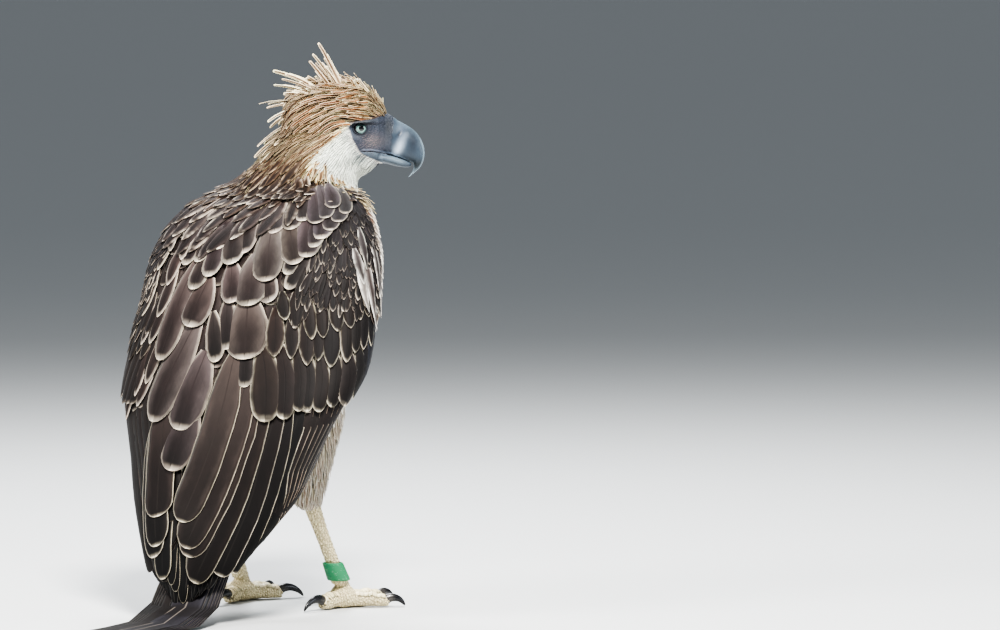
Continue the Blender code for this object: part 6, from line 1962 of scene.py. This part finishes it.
for side, word in ((-1, "right"), (1, "left")):
    for name, degrees, length, root, end, claw in TOES:
        turn = math.radians(degrees)
        ahead = np.array([side * math.sin(turn), -math.cos(turn), 0])
        tip = np.array([side * FOOT_AT[0], FOOT_AT[1], 0]) + ahead * length
        mesh = ring_mesh(claw_rings(tip, ahead, end, claw))
        co = points_of(mesh)
        base_share = np.clip(1 - (np.linalg.norm(co - (tip + ZED * end * 1.05 - ahead * 0.002), axis=1) - 0.006) / 0.006, 0, 1)
        colour = layer(np.broadcast_to(np.array(rgb(26, 26, 29)), co.shape).copy(), base_share * 0.7, rgb(84, 80, 76))
        paint(mesh, "field", np.column_stack([colour, np.ones(len(co))]))
        solid_piece("talon_%s_%s" % (name, word), mesh, M_CLAW, "claw_%s_%s" % (name, word))

# ---------------------------------------------------------------- scales of the toes and shanks
n = Nodes("scale_horn")
vane = n.node("ShaderNodeSeparateXYZ", 0, None, Vector=n.attribute("vane", 1)).node
u_of, v_of, e_of = vane.outputs
own_of = n.node("ShaderNodeSeparateColor", 0, None, Color=n.attribute("par", 0)).node.outputs[2]
where = n.place()
fine = n.noise(where, 900.0, 4.0, 0.6)
broad = n.noise(where, 160.0, 3.0, 0.6)
tone = n.math("ADD", 0.66, n.math("ADD", n.math("MULTIPLY", broad, 0.38), n.math("MULTIPLY", own_of, 0.22)))
colour = n.mix(1.0, n.attribute("tint", 0), n.node("ShaderNodeCombineColor", 0, None, i0=tone, i1=tone, i2=tone), "MULTIPLY")
colour = n.mix(n.math("MULTIPLY", n.ramp(e_of, 0.55, 0.0), 0.55), colour, rgb(128, 108, 74))
colour = n.mix(n.math("MULTIPLY", n.ramp(fine, 0.62, 0.75), 0.30), colour, rgb(150, 140, 120))
M_SCALE = n.finish(colour, 0.42, n.bump(fine, 0.22, 0.0004))

scales = Coat("foot_scales", True)
SCALE = rgb(226, 214, 178)
for side in (-1, 1):
    for name, degrees, length, root, end, claw in TOES:
        count = int(round(length / 0.0066))
        line = np.linspace(0.06, 0.985, count + 1)
        a0, a1 = line[:-1] - 0.012, line[1:] + 0.030
        middle, radius, ahead = toe_line(side, degrees, length, root, end, (a0 + a1) / 2)
        across_way = np.array([-ahead[1], ahead[0], 0])

        def on_toe(V, across, a0=a0, a1=a1, side=side, degrees=degrees, length=length, root=root, end=end, across_way=across_way):
            share = a0[:, None] + (a1 - a0)[:, None] * V[None]
            middle, radius, _ = toe_line(side, degrees, length, root, end, share.ravel())
            middle, radius = middle.reshape(*share.shape, 3), radius.reshape(share.shape)
            angle = across / np.maximum(radius, 0.003)
            normal = across_way * np.sin(angle)[..., None] + ZED * np.cos(angle)[..., None]
            rise = -0.0003 + 0.0009 * V[None] ** 1.5
            return middle + normal * (radius + rise)[..., None], normal
        wide = 2 * math.radians(62) * radius
        fill_in(scales, on_toe, (a1 - a0) * length, wide, "plate", 7, count, jitter(count, SCALE, 0.07, 0.02), SCALE, *per(count, 0.0, 0.0, 0.0, 0.0), 0.0011, 0.0, unwrap(middle))
    # the shank's broad plates, down its front
    zs = np.arange(0.150, 0.034, -0.0082)
    a0, a1 = zs + 0.0010, zs - 0.0094
    x, y, half, depth = look_up(SHANK_FINE, (a0 + a1) / 2)

    def on_shank(V, across, a0=a0, a1=a1, side=side):
        z = a0[:, None] + (a1 - a0)[:, None] * V[None]
        x, y, half, depth = look_up(SHANK_FINE, z)
        angle = across / (half + 1e-4)
        normal = np.stack([np.sin(angle) * depth, -np.cos(angle) * half, 0 * z], -1)
        normal /= np.linalg.norm(normal, axis=-1, keepdims=True)
        rise = -0.0002 + 0.0009 * V[None] ** 1.5
        return np.stack([side * x + half * np.sin(angle), y - depth * np.cos(angle), z], -1) + normal * rise[..., None], normal
    keep = (((a0 + a1) / 2 > BAND_TO + 0.003) | ((a0 + a1) / 2 < BAND_FROM - 0.003)) | (side > 0)
    count = int(keep.sum())
    a0, a1 = a0[keep], a1[keep]
    fill_in(scales, lambda V, across, a0=a0, a1=a1, side=side, on=on_shank: on(V, across, a0, a1, side), np.abs(a1 - a0), 2 * math.radians(52) * half[keep], "plate", 7, count,
            jitter(count, SCALE, 0.07, 0.02), SCALE, *per(count, 0.0, 0.0, 0.0, 0.0), 0.0011, 0.0, unwrap(np.stack([side * x[keep], y[keep], (a0 + a1) / 2], -1)))

skin_co = co_skin = points_of(skin_mesh) - SHIFT
skin_mesh.calc_loop_triangles()
skin_tri = np.empty(len(skin_mesh.loop_triangles) * 3, np.int32)
skin_mesh.loop_triangles.foreach_get("vertices", skin_tri)
skin_tri = skin_tri.reshape(-1, 3)
middle = skin_co[skin_tri].mean(1)
foot_tri = skin_tri[(middle[:, 2] < 0.158) & (np.abs(middle[:, 0]) > 0.028) & (middle[:, 1] < 0.100)]


def stud_keep(p, n):
    share = np.ones(len(p))
    for side in (-1, 1):
        for name, degrees, length, root, end, claw in TOES:
            turn = math.radians(degrees)
            ahead = np.array([side * math.sin(turn), -math.cos(turn)])
            d = p[:, :2] - np.array([side * FOOT_AT[0], FOOT_AT[1]])
            along, across = d @ ahead, d @ np.array([-ahead[1], ahead[0]])
            on_top = (along > 0.010) & (along < length + 0.004) & (np.abs(across) < 0.012) & (n[:, 2] > 0.52) & (p[:, 2] < 0.034)
            share[on_top] = 0
        # the band covers its own stretch, and the plates the shank's front
        x, y, half, depth = look_up(SHANK_FINE, p[:, 2])
        on_leg = (p[:, 2] > 0.034) & (p[:, 0] * side > 0)
        share[on_leg & (n[:, 1] < -0.62)] = 0
        if side < 0:
            share[(p[:, 2] > BAND_FROM - 0.001) & (p[:, 2] < BAND_TO + 0.001) & (p[:, 0] < 0)] = 0
    share[p[:, 2] < 0.0035] = 0
    return share


p, n_at = scatter(stud_keep, 0.0031, 49, 5, (skin_co, foot_tri))
p = p + n_at * 0.0000
size = 0.0036 * rng.uniform(0.85, 1.15, len(p)) * np.interp(p[:, 2], (0.0, 0.03, 0.15), (0.80, 0.95, 1.0))
down = np.broadcast_to(-ZED, p.shape)
d = down - n_at * (down * n_at).sum(-1, keepdims=True)
d /= np.linalg.norm(d, axis=-1, keepdims=True) + 1e-6
flat = np.abs(n_at[:, 2]) > 0.9
d[flat] = np.cross(n_at[flat], np.array([1.0, 0, 0]))
P = np.stack([p - d * size[:, None] / 2, p, p + d * size[:, None] / 2], 1)
N = np.stack([n_at] * 3, 1)
path_vanes(scales, P, N, size * 0.94, -0.0001, -0.0001, "stud", 5, jitter(len(p), SCALE, 0.07, 0.02), SCALE, 0.0, 0.0, thick=0.0018, arch=0.03)
finish_coat(scales, M_SCALE)

# ---------------------------------------------------------------- the ring on the right leg
rings = []
sections = [(BAND_FROM + 0.0002, 0.0), (BAND_FROM, 0.5), (BAND_FROM + 0.0003, 0.9), (BAND_FROM + 0.0012, 1.12), (BAND_FROM + 0.003, 1.2), (BAND_TO - 0.003, 1.2), (BAND_TO - 0.0012, 1.12), (BAND_TO - 0.0003, 0.9), (BAND_TO, 0.5), (BAND_TO - 0.0002, 0.0)]
made = bmesh.new()
rows = []
t = turned(72)
for z, out in sections:
    x, y, half, depth = look_up(SHANK_FINE, z)
    extra = BAND_GAP + BAND_WALL * out
    rows.append([made.verts.new((-x + (half + extra) * math.cos(a), y + (depth + extra) * math.sin(a), z)) for a in t])
for a, b in zip(rows, rows[1:] + rows[:1]):
    for i in range(72):
        j = (i + 1) % 72
        made.faces.new((a[i], a[j], b[j], b[i]))
bmesh.ops.recalc_face_normals(made, faces=made.faces[:])
mesh = bpy.data.meshes.new("ring")
made.to_mesh(mesh)
made.free()
n = Nodes("green_ring")
where = n.place()
scuffs = n.noise(n.node("ShaderNodeMapping", 0, None, Vector=where, Scale=(1.0, 1.0, 3.0)), 240.0, 4.0, 0.65)
broad = n.noise(where, 60.0, 3.0, 0.5)
colour = n.mix(n.math("MULTIPLY", broad, 0.6), rgb(46, 140, 92), rgb(30, 104, 70))
colour = n.mix(n.math("MULTIPLY", n.ramp(scuffs, 0.58, 0.72), 0.55), colour, rgb(196, 216, 200))
M_RING = n.finish(colour, n.math("ADD", 0.34, n.math("MULTIPLY", scuffs, 0.25)), n.bump(scuffs, 0.15, 0.0004))
solid_piece("leg_ring", mesh, M_RING, "leg_band")

for name, feathers, faces in COATS:
    print("coat", name, feathers, faces)
